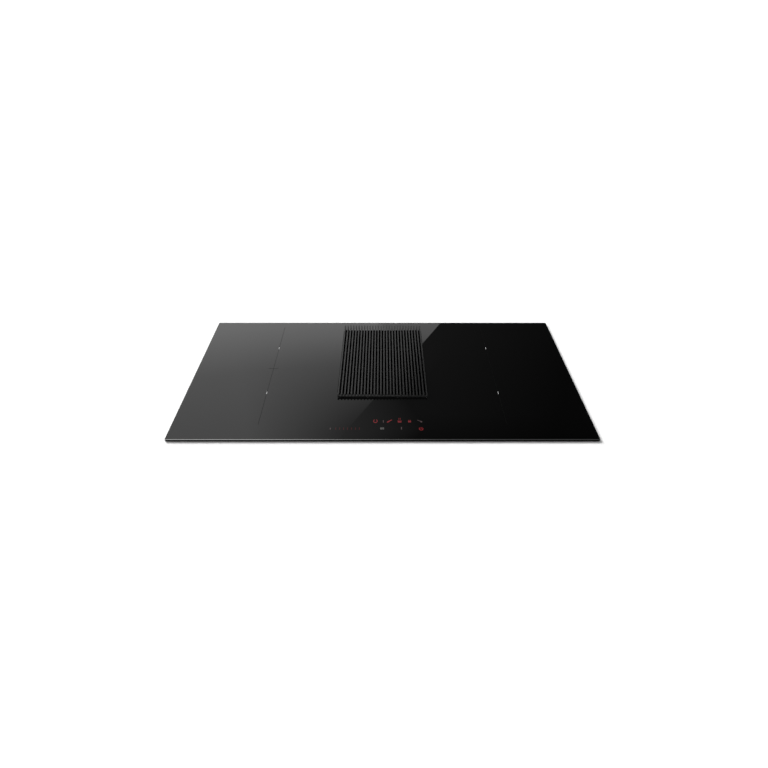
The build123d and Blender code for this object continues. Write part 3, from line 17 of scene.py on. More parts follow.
import bmesh
import bpy
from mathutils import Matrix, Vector


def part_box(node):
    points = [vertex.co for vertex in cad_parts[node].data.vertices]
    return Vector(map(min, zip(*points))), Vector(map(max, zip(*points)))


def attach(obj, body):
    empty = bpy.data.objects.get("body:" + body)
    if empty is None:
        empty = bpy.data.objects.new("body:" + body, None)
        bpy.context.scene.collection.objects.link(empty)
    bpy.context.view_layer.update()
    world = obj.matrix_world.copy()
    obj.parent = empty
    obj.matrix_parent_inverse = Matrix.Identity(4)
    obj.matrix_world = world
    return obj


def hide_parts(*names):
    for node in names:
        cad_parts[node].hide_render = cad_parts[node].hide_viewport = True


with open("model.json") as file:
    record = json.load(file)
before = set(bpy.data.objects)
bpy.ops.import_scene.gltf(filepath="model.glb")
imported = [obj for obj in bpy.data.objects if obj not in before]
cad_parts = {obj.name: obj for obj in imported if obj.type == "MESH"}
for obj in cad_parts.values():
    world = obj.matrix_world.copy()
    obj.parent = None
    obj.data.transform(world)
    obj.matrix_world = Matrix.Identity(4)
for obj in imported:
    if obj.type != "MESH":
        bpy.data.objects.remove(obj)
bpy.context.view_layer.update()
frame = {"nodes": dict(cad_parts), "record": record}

# %% [markdown]
# ## The camera
#
# The cook stands in front of the middle of the glass and looks down at it.  The slope of the
# picture comes from the glass itself: its left and right edges meet far above the picture, and
# the place where they meet gives the tilt and the distance.  The picture was cropped a hair to
# one side, which the camera's sideways shift repeats without turning anything.

# %% Camera
eye_before_glass = 1.0746
eye_above_glass = 0.7571
look_down = 30.55
crop_shift = 0.002
glass_low, glass_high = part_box("glass_top")
glass_top = glass_high.z
camera_data = bpy.data.cameras.new("cook")
camera_data.sensor_width = 36
camera_data.lens = 32.32
camera_data.shift_x = crop_shift
camera = bpy.data.objects.new("cook", camera_data)
camera.location = (0, glass_low.y - eye_before_glass, glass_top + eye_above_glass)
camera.rotation_euler = (radians(90 - look_down), 0, 0)
bpy.context.scene.collection.objects.link(camera)
bpy.context.scene.camera = camera
bpy.context.scene.view_settings.view_transform = "Standard"
print("camera is", round((camera.location - glass_low).length, 2), "m from the glass")

# %% [markdown]
# ## The worktop
#
# The cooktop hangs in a hole in a worktop, and the picture shows that worktop as pure white
# with a short, soft shadow at the front and at the right.  A white plane with the same hole in
# it does this.  For the camera its white is a little brighter than white, so that the open
# surface is clean and only the shadow is seen, while for all other rays it is plain paint.
# Seen from below, the plane lets everything through, so that the parts under the worktop can
# be looked at from the side.
#
# The plane could be cut with a boolean.  Two rings of four corners with a band of faces between
# them need no cutting, and the same band serves for the print and the screws further down.

# %% Two tools for meshes


def band(mesh, lower, upper):
    """Faces between two closed rows with the same number of points."""
    for number, corner in enumerate(lower):
        after = (number + 1) % len(lower)
        mesh.faces.new((corner, lower[after], upper[after], upper[number]))


def into_scene(name, mesh):
    """Makes a finished mesh an object of the scene."""
    data = bpy.data.meshes.new(name)
    mesh.to_mesh(data)
    mesh.free()
    made = bpy.data.objects.new(name, data)
    bpy.context.scene.collection.objects.link(made)
    return made


print("mesh tools ready")

# %% Worktop plane with its cut-out
worktop_reach = 30
cut_out_margin = 0.005
tray_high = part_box("hob_tray")[1]
cut_out = [side + cut_out_margin for side in tray_high[:2]]
worktop_mesh = bmesh.new()
outer_edge, inner_edge = [
    [
        worktop_mesh.verts.new((sx * reach_x, sy * reach_y, 0))
        for sx, sy in ((-1, -1), (1, -1), (1, 1), (-1, 1))
    ]
    for reach_x, reach_y in ((worktop_reach, worktop_reach), cut_out)
]
band(worktop_mesh, outer_edge, inner_edge)
worktop = into_scene("worktop", worktop_mesh)
print("cut-out:", [round(2000 * side) for side in cut_out], "mm")

# %% [markdown]
# ## A way to write materials
#
# Every finish below starts as Blender's own Principled shader.  A few small helpers keep the
# cells short: one starts a finish, one adds a node and sets its values, one does a sum, and
# others turn a pattern into a value, a grey or a colour between two others.  All patterns are
# read from the object's own coordinates, in metres, so a grain of half a millimetre is the same
# size on every part.

# %% Helpers for nodes
finishes = {}


def start_finish(name, color, roughness, metallic=0.0, coat=0.0):
    """New material with plain values on its shader; returns its node tree and the shader."""
    material = bpy.data.materials.new(name)
    material.use_nodes = True
    shader = material.node_tree.nodes["Principled BSDF"]
    shader.inputs["Base Color"].default_value = (*color, 1)
    shader.inputs["Roughness"].default_value = roughness
    shader.inputs["Metallic"].default_value = metallic
    shader.inputs["Coat Weight"].default_value = coat
    finishes[name] = material
    return material.node_tree, shader


def add(tree, kind, wires=None, **settings):
    """Adds a node, sets its properties and joins the named inputs to sockets or values."""
    node = tree.nodes.new("ShaderNode" + kind)
    for key, value in settings.items():
        setattr(node, key, value)
    for key, value in (wires or {}).items():
        if isinstance(value, bpy.types.NodeSocket):
            tree.links.new(value, node.inputs[key])
        else:
            node.inputs[key].default_value = value
    return node


def calc(tree, operation, *values, **settings):
    """The result of one Math node on numbers or sockets."""
    wires = dict(enumerate(values))
    return add(tree, "Math", wires, operation=operation, **settings).outputs[0]


def place(tree, stretch=(1, 1, 1)):
    """Object coordinates in metres, stretched along each axis."""
    source = add(tree, "TexCoord").outputs["Object"]
    return add(tree, "Mapping", {"Vector": source, "Scale": stretch}).outputs["Vector"]


print("node helpers ready")

# %% Helpers for patterns


def grain(tree, size, stretch=(1, 1, 1), detail=3):
    """Soft noise whose lumps are about `size` metres across."""
    wires = {"Vector": place(tree, stretch), "Scale": 1 / size, "Detail": detail}
    return add(tree, "TexNoise", wires).outputs["Fac"]


def between(tree, amount, low, high, start=0.3, end=0.7):
    """A value that runs from low to high while the pattern goes from start to end."""
    wires = {"Value": amount, "From Min": start, "From Max": end, "To Min": low, "To Max": high}
    return add(tree, "MapRange", wires).outputs["Result"]


def tint(tree, amount, dark, light, start=0.3, end=0.7):
    """A colour between two others, by a pattern."""
    wires = {0: between(tree, amount, 0, 1, start, end), 6: (*dark, 1), 7: (*light, 1)}
    return add(tree, "Mix", wires, data_type="RGBA").outputs[2]


def grey(tree, shade):
    """The neutral colour of a shade."""
    return add(tree, "CombineColor", {0: shade, 1: shade, 2: shade}).outputs[0]


def relief(tree, shader, height, depth, strength=1.0):
    """Bumps of a real depth in metres on a shader."""
    wires = {"Height": height, "Distance": depth, "Strength": strength}
    tree.links.new(add(tree, "Bump", wires).outputs["Normal"], shader.inputs["Normal"])


print("pattern helpers ready")

# %% [markdown]
# ## White paint for the worktop
#
# A camera ray meets two layers of white, which together are brighter than white in full light
# and still fall to grey and black in shadow.  A ray from below meets nothing.

# %% Worktop finish
paint_tree, paint = start_finish("white_worktop", (0.8, 0.8, 0.8), 0.9)
paint_tree.nodes.remove(paint)
soft_white, full_white, extra_white = [
    add(paint_tree, "BsdfDiffuse", {"Color": (white, white, white, 1)}).outputs[0]
    for white in (0.8, 1, 0.18)
]
both_layers = add(paint_tree, "AddShader", {0: full_white, 1: extra_white}).outputs[0]
seen_by_camera = add(paint_tree, "LightPath").outputs["Is Camera Ray"]
upper_side = add(paint_tree, "MixShader", {0: seen_by_camera, 1: soft_white, 2: both_layers})
from_below = add(paint_tree, "NewGeometry").outputs["Backfacing"]
nothing = add(paint_tree, "BsdfTransparent").outputs[0]
one_sided = add(paint_tree, "MixShader", {0: from_below, 1: upper_side.outputs[0], 2: nothing})
paint_end = paint_tree.nodes["Material Output"].inputs["Surface"]
paint_tree.links.new(one_sided.outputs[0], paint_end)
worktop.data.materials.append(finishes["white_worktop"])
print("worktop painted")

# %% [markdown]
# ## Light
#
# The picture is a studio one.  A white room stands round the cooktop, and the polished glass
# shows its wall on the left half.  On the right half the glass shows a black card that stands
# behind the worktop: its slanted left edge is the diagonal line that crosses the glass.  The
# card is hung so that only reflections see it.
#
# No room is evenly white.  The wall gets darker towards the right and upwards, and the ceiling,
# which only the ground bevel of the glass shows, is white at the left and falls off to the
# right.  Walls and lamps could be built for this.  The room is painted on the sky instead,
# because a reflection asks only which way it looks: its turn to the side and its height.
#
# The shadow in front and at the right is short and soft, so the main lamp is wide and stands
# low at the back left.  Lamps for the front and the underside light the object alone and skip
# the worktop, which would lose its shadow otherwise.

# %% White wall, by direction
room = bpy.data.worlds.new("white room")
bpy.context.scene.world = room
room.use_nodes = True
room_tree = room.node_tree
plain_light = room_tree.nodes["Background"]
plain_light.inputs["Color"].default_value = (1, 1, 1, 1)
plain_light.inputs["Strength"].default_value = 0.32

wall_right = radians(-13.4)
dimmer_from, dimmest_from = sin(radians(26.5)), sin(radians(34.5))
glow_from, glow_to = sin(radians(25.5)), sin(radians(29))
darkest_wall = 0.06
ray_way = add(room_tree, "SeparateXYZ", {0: add(room_tree, "TexCoord").outputs["Generated"]})
ray_height = ray_way.outputs["Z"]
ray_turn = calc(room_tree, "ARCTAN2", ray_way.outputs["X"], ray_way.outputs["Y"])
past_wall = calc(room_tree, "SUBTRACT", ray_turn, wall_right, use_clamp=True)
fall_off = between(room_tree, ray_height, 0.5, 4.2, dimmer_from, dimmest_from)
lost = calc(room_tree, "MULTIPLY", past_wall, fall_off)
left_over = calc(room_tree, "SUBTRACT", 1.0, lost, use_clamp=True)
wall_glow = between(room_tree, ray_height, 1.2, 0.86, glow_from, glow_to)
right_half = between(room_tree, ray_turn, 1, 0.73, start=radians(-0.7), end=radians(0.3))
wall_tone = calc(room_tree, "MULTIPLY", wall_glow, right_half)
wall_light = calc(room_tree, "MULTIPLY", left_over, wall_tone)
wall = calc(room_tree, "MAXIMUM", wall_light, darkest_wall)
print("room strength for surfaces:", plain_light.inputs["Strength"].default_value)

# %% [markdown]
# The ceiling's light falls like a lamp's does with distance, quickly at first and then slowly.
# An exponential has that form: with every 23.5 degrees of turn to the right, about a third is
# left.

# %% Ceiling, and what each kind of ray sees
ceiling_fade = 23.5
ceiling_left = -45
darkest_ceiling = 0.11
fade_rate, fade_offset = -1 / radians(ceiling_fade), ceiling_left / ceiling_fade
falling = calc(room_tree, "MULTIPLY_ADD", ray_turn, fade_rate, fade_offset)
ceiling_share = calc(room_tree, "EXPONENT", falling)
ceiling = between(room_tree, ceiling_share, darkest_ceiling, 1, start=0, end=1)
overhead = between(room_tree, ray_height, 0, 1, start=0.62, end=0.8)
wall_and_ceiling = add(room_tree, "Mix", {0: overhead, 2: wall, 3: ceiling}).outputs[0]
mirror_room, clear_room = [
    add(room_tree, "Background", {"Color": (1, 1, 1, 1), "Strength": strength}).outputs[0]
    for strength in (wall_and_ceiling, 1.0)
]
ray_kind = add(room_tree, "LightPath").outputs
straight = calc(room_tree, "MAXIMUM", ray_kind["Is Camera Ray"], ray_kind["Is Transmission Ray"])
lit_or_mirrored = add(
    room_tree,
    "MixShader",
    {0: ray_kind["Is Glossy Ray"], 1: plain_light.outputs[0], 2: mirror_room},
)
any_ray = add(
    room_tree, "MixShader", {0: straight, 1: lit_or_mirrored.outputs[0], 2: clear_room}
)
room_tree.links.new(any_ray.outputs[0], room_tree.nodes["World Output"].inputs["Surface"])
print("ceiling falls to a third in", ceiling_fade, "degrees")

# %% Lamps
not_the_worktop = bpy.data.collections.new("lit by the side lamps")
not_the_worktop.objects.link(worktop)
not_the_worktop.collection_objects[0].light_linking.link_state = "EXCLUDE"


def hang(name, data, side):
    """Puts a lamp in the scene that shines on the cooktop from the given side."""
    lamp = bpy.data.objects.new(name, data)
    lamp.rotation_euler = Vector(side).to_track_quat("Z", "Y").to_euler()
    lamp.visible_glossy = False
    bpy.context.scene.collection.objects.link(lamp)
    return lamp


def soft_lamp(name, spot, size, brightness):
    """Square lamp aimed at the cooktop; brightness is what it adds on a surface facing it."""
    data = bpy.data.lights.new(name, "AREA")
    data.size = size
    data.energy = brightness * 4 * pi * Vector(spot).length ** 2 * pi / 4
    lamp = hang(name, data, spot)
    lamp.location = spot
    lamp.light_linking.receiver_collection = not_the_worktop


soft_lamp("front", (1.2, -2.6, 1.1), 2.0, 0.5)
soft_lamp("right", (3.0, 0.6, 0.4), 2.0, 0.35)
soft_lamp("below", (-0.6, -1.0, -2.6), 2.5, 0.4)

key_data = bpy.data.lights.new("key", "SUN")
key_data.angle = radians(36)
key_data.energy = 4.6
hang("key", key_data, (-1.67, 2.37, 1.45))

# %% [markdown]
# The card is not lit by the scene's lamps.  Instead, painted light is emitted by the card's own
# finish: the studio's light that grazes the slanted edge, more so higher up, and a faint haze over
# the rest that gets weaker to the right and at the top.  The reflection shows this as the soft
# grey beside the diagonal line.

# %% Black card behind the worktop
card_y = 0.30
card_foot, card_top, card_right = 0.012, 0.9, 2.5
edge_foot, edge_bend, edge_top = (0.162, card_foot), (-0.1145, 0.38), (-0.506, card_top)
card_corners = (edge_foot, edge_bend, edge_top, (card_right, card_top), (card_right, card_foot))
card_mesh = bmesh.new()
card_mesh.faces.new([card_mesh.verts.new((x, card_y, z)) for x, z in card_corners])
card = into_scene("black_card", card_mesh)
for ray in ("camera", "diffuse", "transmission", "volume_scatter", "shadow"):
    setattr(card, "visible_" + ray, False)
print("card stands", round(card_y - glass_high.y, 3), "m behind the glass")

# %% Painted light on the card
card_light_tree, card_shader = start_finish("card_painted_light", (0, 0, 0), 1)
card_light_tree.nodes.remove(card_shader)
card_place = add(card_light_tree, "SeparateXYZ", {0: place(card_light_tree)})
across, up = card_place.outputs["X"], card_place.outputs["Z"]
edge_slope = (edge_foot[0] - edge_bend[0]) / (edge_bend[1] - edge_foot[1])
edge_start = edge_foot[0] + edge_slope * edge_foot[1]
slanted = calc(card_light_tree, "MULTIPLY_ADD", up, edge_slope, across)
from_edge = calc(card_light_tree, "SUBTRACT", slanted, edge_start)
# Painted light: the card's emission paints the studio's light along the slanted edge, stronger
# higher up.
reach = between(card_light_tree, up, 0.09, 0.22, start=0.26, end=0.36)
share = calc(card_light_tree, "DIVIDE", from_edge, reach)
fade = between(card_light_tree, share, 1, 0, start=0, end=1)
climb = between(card_light_tree, up, 0, 1, start=0.05, end=0.38)
painted_edge_strength = between(card_light_tree, calc(card_light_tree, "POWER", climb, 2), 0, 0.21, start=0, end=1)
painted_edge_light = calc(card_light_tree, "MULTIPLY", fade, painted_edge_strength)
painted_haze = between(card_light_tree, across, 0.055, 0.012, start=0.1, end=0.5)
haze_left = between(card_light_tree, up, 1, 0.7, start=0.31, end=0.375)
# Painted light: a faint painted haze is added to the painted edge light.
painted_card_light = calc(card_light_tree, "MULTIPLY_ADD", painted_haze, haze_left, painted_edge_light)
glow = add(card_light_tree, "Emission", {"Color": (1, 1, 1, 1), "Strength": painted_card_light})
card_light_tree.links.new(glow.outputs[0], card_light_tree.nodes["Material Output"].inputs["Surface"])
card.data.materials.append(finishes["card_painted_light"])
print("slanted edge leans", round(edge_slope, 2), "m to the left per metre of height")

# %% [markdown]
# ## Glass ceramic
#
# The sheet is black all through and polished.  What the eye sees is almost only its
# reflection, so its colour is close to nothing and the finish lies in the gloss: very fine
# wipe marks make it a touch rougher in places.
#
# The bevel along the front is ground and polished again.  It shows the ceiling, so it shines
# almost like steel where that is white and stays dark where it is dark.  Its colour is darkest at
# the foot, which is painted shade for the foot lying in its own shade.  It is also darker towards
# the upper edge, where it runs into the black surface, so the shine is strongest half-way up.
# The upright sides are only ground.

# %% Glass finishes
glass_tree, glass = start_finish("ceramic_glass", (0.001, 0.001, 0.001), 0.03)
wipe_marks = between(glass_tree, grain(glass_tree, 0.05, (1, 3, 1), 6), 0.015, 0.04)
glass_tree.links.new(wipe_marks, glass.inputs["Roughness"])

side_tree, ground_side = start_finish("glass_side", (0.003, 0.003, 0.003), 0.35)
ground_side.inputs["Specular IOR Level"].default_value = 0.04
frosting = tint(side_tree, grain(side_tree, 0.0005), (0.001, 0.001, 0.001), (0.002, 0.002, 0.002))
side_tree.links.new(frosting, ground_side.inputs["Base Color"])
print("glass top at", round(1000 * glass_top, 2), "mm")

# %% Bevel finish with painted shade at its foot, by height below the top
foot_starts, foot_ends = glass_top - 0.00075, glass_top - 0.00045
rim_starts, rim_ends = glass_top - 0.0004, glass_top - 0.0001
bevel_tree, bevel = start_finish("glass_bevel", (0.3, 0.3, 0.3), 0.15, metallic=1.0)
grinding = grain(bevel_tree, 0.0006, (0.2, 1, 1), 3)
bevel_height = add(bevel_tree, "SeparateXYZ", {0: place(bevel_tree)}).outputs["Z"]
# Painted shade: the bevel's colour falls towards its foot, where it lies in its own shade.
# Towards the upper edge it is also darker.
painted_foot_shade = between(bevel_tree, bevel_height, 0.03, 0.55, foot_starts, foot_ends)
rim = between(bevel_tree, bevel_height, 1, 0.15, rim_starts, rim_ends)
polish_and_painted_shade = calc(bevel_tree, "MULTIPLY", painted_foot_shade, rim)
shine_and_painted_shade = calc(bevel_tree, "MULTIPLY", polish_and_painted_shade, between(bevel_tree, grinding, 0.85, 1.15))
bevel_tree.links.new(grey(bevel_tree, shine_and_painted_shade), bevel.inputs["Base Color"])
bevel_tree.links.new(between(bevel_tree, grinding, 0.12, 0.2), bevel.inputs["Roughness"])
print("bevel shines from", round(1000 * foot_starts, 2), "to", round(1000 * rim_ends, 2), "mm")

# %% [markdown]
# ## Enamel, plastics, rubber and metals
#
# Most parts share a few trades: moulded plastic with a fine spark-eroded grain, rolled or
# drawn metal with marks along one direction, and rubber.  One recipe for each trade, with the
# colour and the grain as its values, keeps the parts related and still different.

# %% Moulded plastic and rubber


def moulded(name, color, roughness=0.5, grain_size=0.0006, depth=0.00003, level=0.5):
    """Plastic from a grained mould: slight clouds of colour, uneven gloss and a fine relief."""
    tree, shader = start_finish(name, color, roughness)
    shader.inputs["Specular IOR Level"].default_value = level
    clouds = grain(tree, 0.06, detail=4)
    dark = tuple(0.88 * part for part in color)
    light = tuple(min(1, 1.12 * part + 0.002) for part in color)
    tree.links.new(tint(tree, clouds, dark, light), shader.inputs["Base Color"])
    uneven = between(tree, grain(tree, 0.012), roughness - 0.06, roughness + 0.08)
    tree.links.new(uneven, shader.inputs["Roughness"])
    relief(tree, shader, grain(tree, grain_size, detail=2), depth, 0.6)


# The black plastic is darker than a plain black.  This is partly the plastic's own colour and
# partly painted shade for the air way seen through the grille.
moulded("black_plastic", (0.008, 0.008, 0.0085), 0.45, level=0.4)
moulded("grey_plastic", (0.13, 0.135, 0.14), 0.5)
moulded("blower_plastic", (0.055, 0.058, 0.062), 0.42)
moulded("impeller_plastic", (0.09, 0.09, 0.095), 0.4)
moulded("white_nylon", (0.72, 0.71, 0.67), 0.45)
moulded("gland_nylon", (0.035, 0.035, 0.037), 0.4)
moulded("display_plastic", (0.03, 0.008, 0.008), 0.2)
moulded("component_plastic", (0.06, 0.085, 0.2), 0.4)
moulded("silicone", (0.028, 0.028, 0.028), 0.65, 0.0004)
moulded("rubber", (0.022, 0.022, 0.022), 0.75, 0.0005)
moulded("foam_seal", (0.02, 0.02, 0.02), 0.9, 0.0008, 0.0002)
moulded("sensor_rubber", (0.35, 0.05, 0.03), 0.6)
moulded("ferrite", (0.05, 0.05, 0.055), 0.55, 0.0004, 0.00005)
# The filter metal is near black, darker than bare metal.  This is partly a dark finish and partly
# painted shade for the filters down in the air way, seen through the gaps of the grille.
moulded("filter_metal", (0.01, 0.01, 0.0105), 0.5, 0.0008, 0.00003, 0.3)
moulded("bail_wire", (0.018, 0.018, 0.0185), 0.4, 0.0005, 0.00002)
print(len(finishes), "finishes so far")

# %% Rolled, drawn and plated metal


def rolled(name, color, roughness, along=(1, 1, 1), coarseness=0.0009):
    """Metal with marks of the rolls or the die along its long way."""
    tree, shader = start_finish(name, color, roughness, metallic=1.0)
    marks = grain(tree, coarseness, along, detail=5)
    dark = tuple(0.8 * part for part in color)
    tree.links.new(tint(tree, marks, dark, color), shader.inputs["Base Color"])
    uneven = between(tree, marks, roughness - 0.07, roughness + 0.1)
    tree.links.new(uneven, shader.inputs["Roughness"])
    relief(tree, shader, marks, 0.00002, 0.5)


rolled("aluminium", (0.72, 0.73, 0.74), 0.38, (1, 0.04, 1))
rolled("spring_steel", (0.46, 0.47, 0.49), 0.3, (1, 1, 0.05))
rolled("motor_steel", (0.5, 0.5, 0.52), 0.35, (1, 1, 0.06))
rolled("zinc_screws", (0.6, 0.61, 0.62), 0.32)
rolled("stator_steel", (0.26, 0.26, 0.28), 0.5, (0.02, 0.02, 1), 0.0005)
print("metals:", [name for name in finishes if "steel" in name])

# %% [markdown]
# Galvanised sheet is told by its spangle: zinc crystals of five to fifteen millimetres, each
# a slightly different grey.  Voronoi cells have that look when every cell takes one random
# tone, and a little noise on the coordinates makes their borders feathery.

# %% Galvanised sheet
crystals_per_metre = 95
feathers_per_metre = 260
feather_reach = 0.006
zinc_tree, zinc = start_finish("galvanised_steel", (0.5, 0.51, 0.53), 0.4, metallic=1.0)
feather_wires = {"Vector": place(zinc_tree), "Scale": feathers_per_metre, "Detail": 4}
feather = add(zinc_tree, "TexNoise", feather_wires).outputs["Color"]
wobble = add(
    zinc_tree,
    "MixRGB",
    {"Fac": feather_reach, "Color1": place(zinc_tree), "Color2": feather},
    blend_type="ADD",
)
crystal_wires = {"Vector": wobble.outputs[0], "Scale": crystals_per_metre}
crystals = add(zinc_tree, "TexVoronoi", crystal_wires).outputs["Color"]
crystal_tone = add(zinc_tree, "SeparateColor", {0: crystals}).outputs[0]
zinc_color = tint(zinc_tree, crystal_tone, (0.4, 0.41, 0.43), (0.6, 0.61, 0.62), 0, 1)
zinc_tree.links.new(zinc_color, zinc.inputs["Base Color"])
zinc_tree.links.new(between(zinc_tree, crystal_tone, 0.3, 0.5, 0, 1), zinc.inputs["Roughness"])
relief(zinc_tree, zinc, grain(zinc_tree, 0.004, detail=3), 0.00004, 0.5)
print("zinc crystals of about", round(1000 / crystals_per_metre), "mm")

# %% [markdown]
# The grille is pressed metal under matt black enamel.  The tops of the bars take the lit enamel.
# A darker, duller copy of it is painted shade for the sides between the bars and the faces down in
# the gaps.  One recipe makes both finishes, and each face takes one of them further down, by the
# way that it looks.

# %% Grille enamel


def enamel(name, shade, gloss):
    """Matt black enamel with a faint orange peel."""
    tree, shader = start_finish(name, (shade, shade, shade), 0.38)
    shader.inputs["Specular IOR Level"].default_value = gloss
    fired = between(tree, grain(tree, 0.02), 0.85 * shade, 1.15 * shade)
    tree.links.new(grey(tree, fired), shader.inputs["Base Color"])
    peel = grain(tree, 0.003, detail=2)
    tree.links.new(between(tree, peel, 0.36, 0.42), shader.inputs["Roughness"])
    relief(tree, shader, peel, 0.00001, 0.1)


enamel("black_grille", 0.0095, 0.37)
# A darker, dull copy of the enamel: painted shade for the faces between and below the tops of the
# bars.
enamel("grille_painted_shade", 0.003, 0.02)
print("enamel ready")

# %% [markdown]
# The parts inside the tray have finishes of their own: the mica sheets are pressed flakes,
# the circuit boards are green lacquer over copper tracks, and the windings are bundles of
# enamelled copper strands that turn round and round the sensor.

# %% Mica, circuit boards and windings
mica_tree, mica = start_finish("mica", (0.42, 0.35, 0.26), 0.55)
flakes = add(mica_tree, "TexVoronoi", {"Vector": place(mica_tree), "Scale": 220})
flake_tone = add(mica_tree, "SeparateColor", {0: flakes.outputs["Color"]}).outputs[1]
flake_color = tint(mica_tree, flake_tone, (0.32, 0.26, 0.18), (0.52, 0.45, 0.34), 0, 1)
mica_tree.links.new(flake_color, mica.inputs["Base Color"])
mica_tree.links.new(between(mica_tree, flake_tone, 0.4, 0.65, 0, 1), mica.inputs["Roughness"])

board_tree, board = start_finish("circuit_board", (0.02, 0.12, 0.05), 0.25)
track_wires = {
    "Vector": place(board_tree),
    "Scale": 60,
    "Color1": (0.012, 0.1, 0.04, 1),
    "Color2": (0.02, 0.13, 0.055, 1),
    "Mortar": (0.05, 0.2, 0.09, 1),
    "Mortar Size": 0.03,
    "Brick Width": 0.9,
    "Row Height": 0.22,
}
tracks = add(board_tree, "TexBrick", track_wires)
board_tree.links.new(tracks.outputs["Color"], board.inputs["Base Color"])
relief(board_tree, board, tracks.outputs["Fac"], 0.00005)

litz_tree, litz = start_finish("copper_litz", (0.42, 0.17, 0.06), 0.4, metallic=0.6)
winding_place = place(litz_tree, (1, 1, 0.2))
strand_wires = {"Vector": winding_place, "Scale": 60, "Distortion": 1.2, "Detail": 2}
strands = add(litz_tree, "TexWave", strand_wires, wave_type="RINGS", rings_direction="Z")
copper = tint(litz_tree, strands.outputs["Fac"], (0.2, 0.07, 0.03), (0.55, 0.24, 0.09), 0.1, 0.9)
litz_tree.links.new(copper, litz.inputs["Base Color"])
relief(litz_tree, litz, strands.outputs["Fac"], 0.0004)
print("finishes:", len(finishes))

# %% [markdown]
# ## Dressing the imported parts
#
# The record says which slot each part takes its finish from, and the finishes above carry the
# names of those slots, so one loop dresses every part.
#
# Two parts need more than one finish.  A face's normal says how it looks: the height of the
# normal is 0 on an upright side of the glass and 1 on its level top, and the bevel lies between.
# On the grille, faces that look sideways or backwards, or that lie below the tops of the bars,
# take the darker, dull enamel that is painted shade, apart from the front end that the cook sees.

# %% Give each part its finish
slot_of = {row["node"]: row["material_slot"] for row in frame["record"]["subparts"]}
for node, part in frame["nodes"].items():
    part.data.materials.clear()
    part.data.materials.append(finishes[slot_of[node]])
print("dressed", len(frame["nodes"]), "parts")

# %% Faces of the glass and the grille
surface_finish, bevel_finish, side_finish = 0, 1, 2
steepest_bevel, flattest_bevel = 0.3, 0.97
glass_sheet = frame["nodes"]["glass_top"]
glass_sheet.data.materials.append(finishes["glass_bevel"])
glass_sheet.data.materials.append(finishes["glass_side"])
for face in glass_sheet.data.polygons:
    upwards = abs(face.normal.z)
    if upwards < steepest_bevel:
        face.material_index = side_finish
    elif upwards < flattest_bevel:
        face.material_index = bevel_finish
    else:
        face.material_index = surface_finish

bar_height = 0.004
sideways, backwards, forwards = 0.5, 0.25, -0.5
grille = frame["nodes"]["grille"]
grille.data.materials.append(finishes["grille_painted_shade"])
grille_low, grille_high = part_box("grille")
# Painted shade: the faces turned away, and the faces below the bar tops apart from the front end,
# take the dark copy of the enamel.
for face in grille.data.polygons:
    low = face.center.z < grille_high.z - bar_height
    front_end = face.normal.y < forwards and face.center.y < grille_low.y + bar_height
    turned_away = abs(face.normal.x) > sideways or face.normal.y > backwards
    face.material_index = int(turned_away or (low and not front_end))
print("grille has", len(grille.data.polygons), "faces")

# %% [markdown]
# ## Broken edges
#
# A mould leaves a small round on every edge, and a cut sheet is brushed until it doesn't cut.
# The light runs along such edges, so the parts that show them get one.  Weld first joins the
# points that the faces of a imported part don't share, and Bevel then rounds what is sharper
# than forty degrees.  Neither moves a face of the part.

# %% Broken edges
moulded_round, sheet_round = 0.0005, 0.0002
moulded_parts = ("lower_housing", "duct_spigot", "mains_box", "mains_box_lid", "control_box")
sheet_parts = ("hob_tray", "drip_tray", "filter_frame_left", "filter_frame_right")
for edge_round, part_names in ((moulded_round, moulded_parts), (sheet_round, sheet_parts)):
    for part_name in part_names:
        part = frame["nodes"][part_name]
        weld = part.modifiers.new("weld", "WELD")
        weld.merge_threshold = 0.00001
        broken = part.modifiers.new("broken edges", "BEVEL")
        broken.width = edge_round
        broken.segments = 2
        broken.limit_method = "ANGLE"
        broken.angle_limit = radians(40)
print("edges broken on", len(moulded_parts) + len(sheet_parts), "parts")

# %% [markdown]
# ## Print on the glass
#
# Two long thin lines, each with a short cross line, run over the coil pairs, and four small
# white bars mark the coils.  The print is a raised film of ceramic colour, so it is built as
# thin plates that lie on the glass: a plate is an outline, drawn once low and once high, with a
# band of faces between.

# %% Plates from outlines
print_thickness = 0.00005


def plate(mesh, outline, low=glass_top):
    """Adds a thin plate of the given outline, a list of (x, y)."""
    lower = [mesh.verts.new((x, y, low)) for x, y in outline]
    upper = [mesh.verts.new((x, y, low + print_thickness)) for x, y in outline]
    mesh.faces.new(upper)
    mesh.faces.new(lower[::-1])
    band(mesh, lower, upper)


def bar(mesh, start, end, width, low=glass_top):
    """A straight stroke between two points."""
    start, end = Vector(start), Vector(end)
    half = (end - start).orthogonal().normalized() * width / 2
    plate(mesh, [start - half, end - half, end + half, start + half], low)


def print_piece(name, mesh, slot):
    """Makes the finished film a piece that rides with the glass."""
    bmesh.ops.recalc_face_normals(mesh, faces=mesh.faces)
    piece = into_scene(name, mesh)
    piece.data.materials.append(finishes[slot])
    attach(piece, "root")


print("film is", 1000 * print_thickness, "mm thick")

# %% Finishes of the print


def film(name, shade, roughness, dots, darkest, lightest):
    """Matt print with fine dots of the screen that it was drawn through."""
    tree, shader = start_finish(name, (shade, shade, shade), roughness)
    dotted = tint(tree, grain(tree, dots), 3 * (darkest,), 3 * (lightest,))
    tree.links.new(dotted, shader.inputs["Base Color"])
    return shader


line_print = film("line_print", 0.003, 0.5, 0.001, 0.002, 0.0045)
line_print.inputs["Specular IOR Level"].default_value = 0.1
film("white_print", 0.5, 0.45, 0.0008, 0.45, 0.54)
print("print finishes ready")

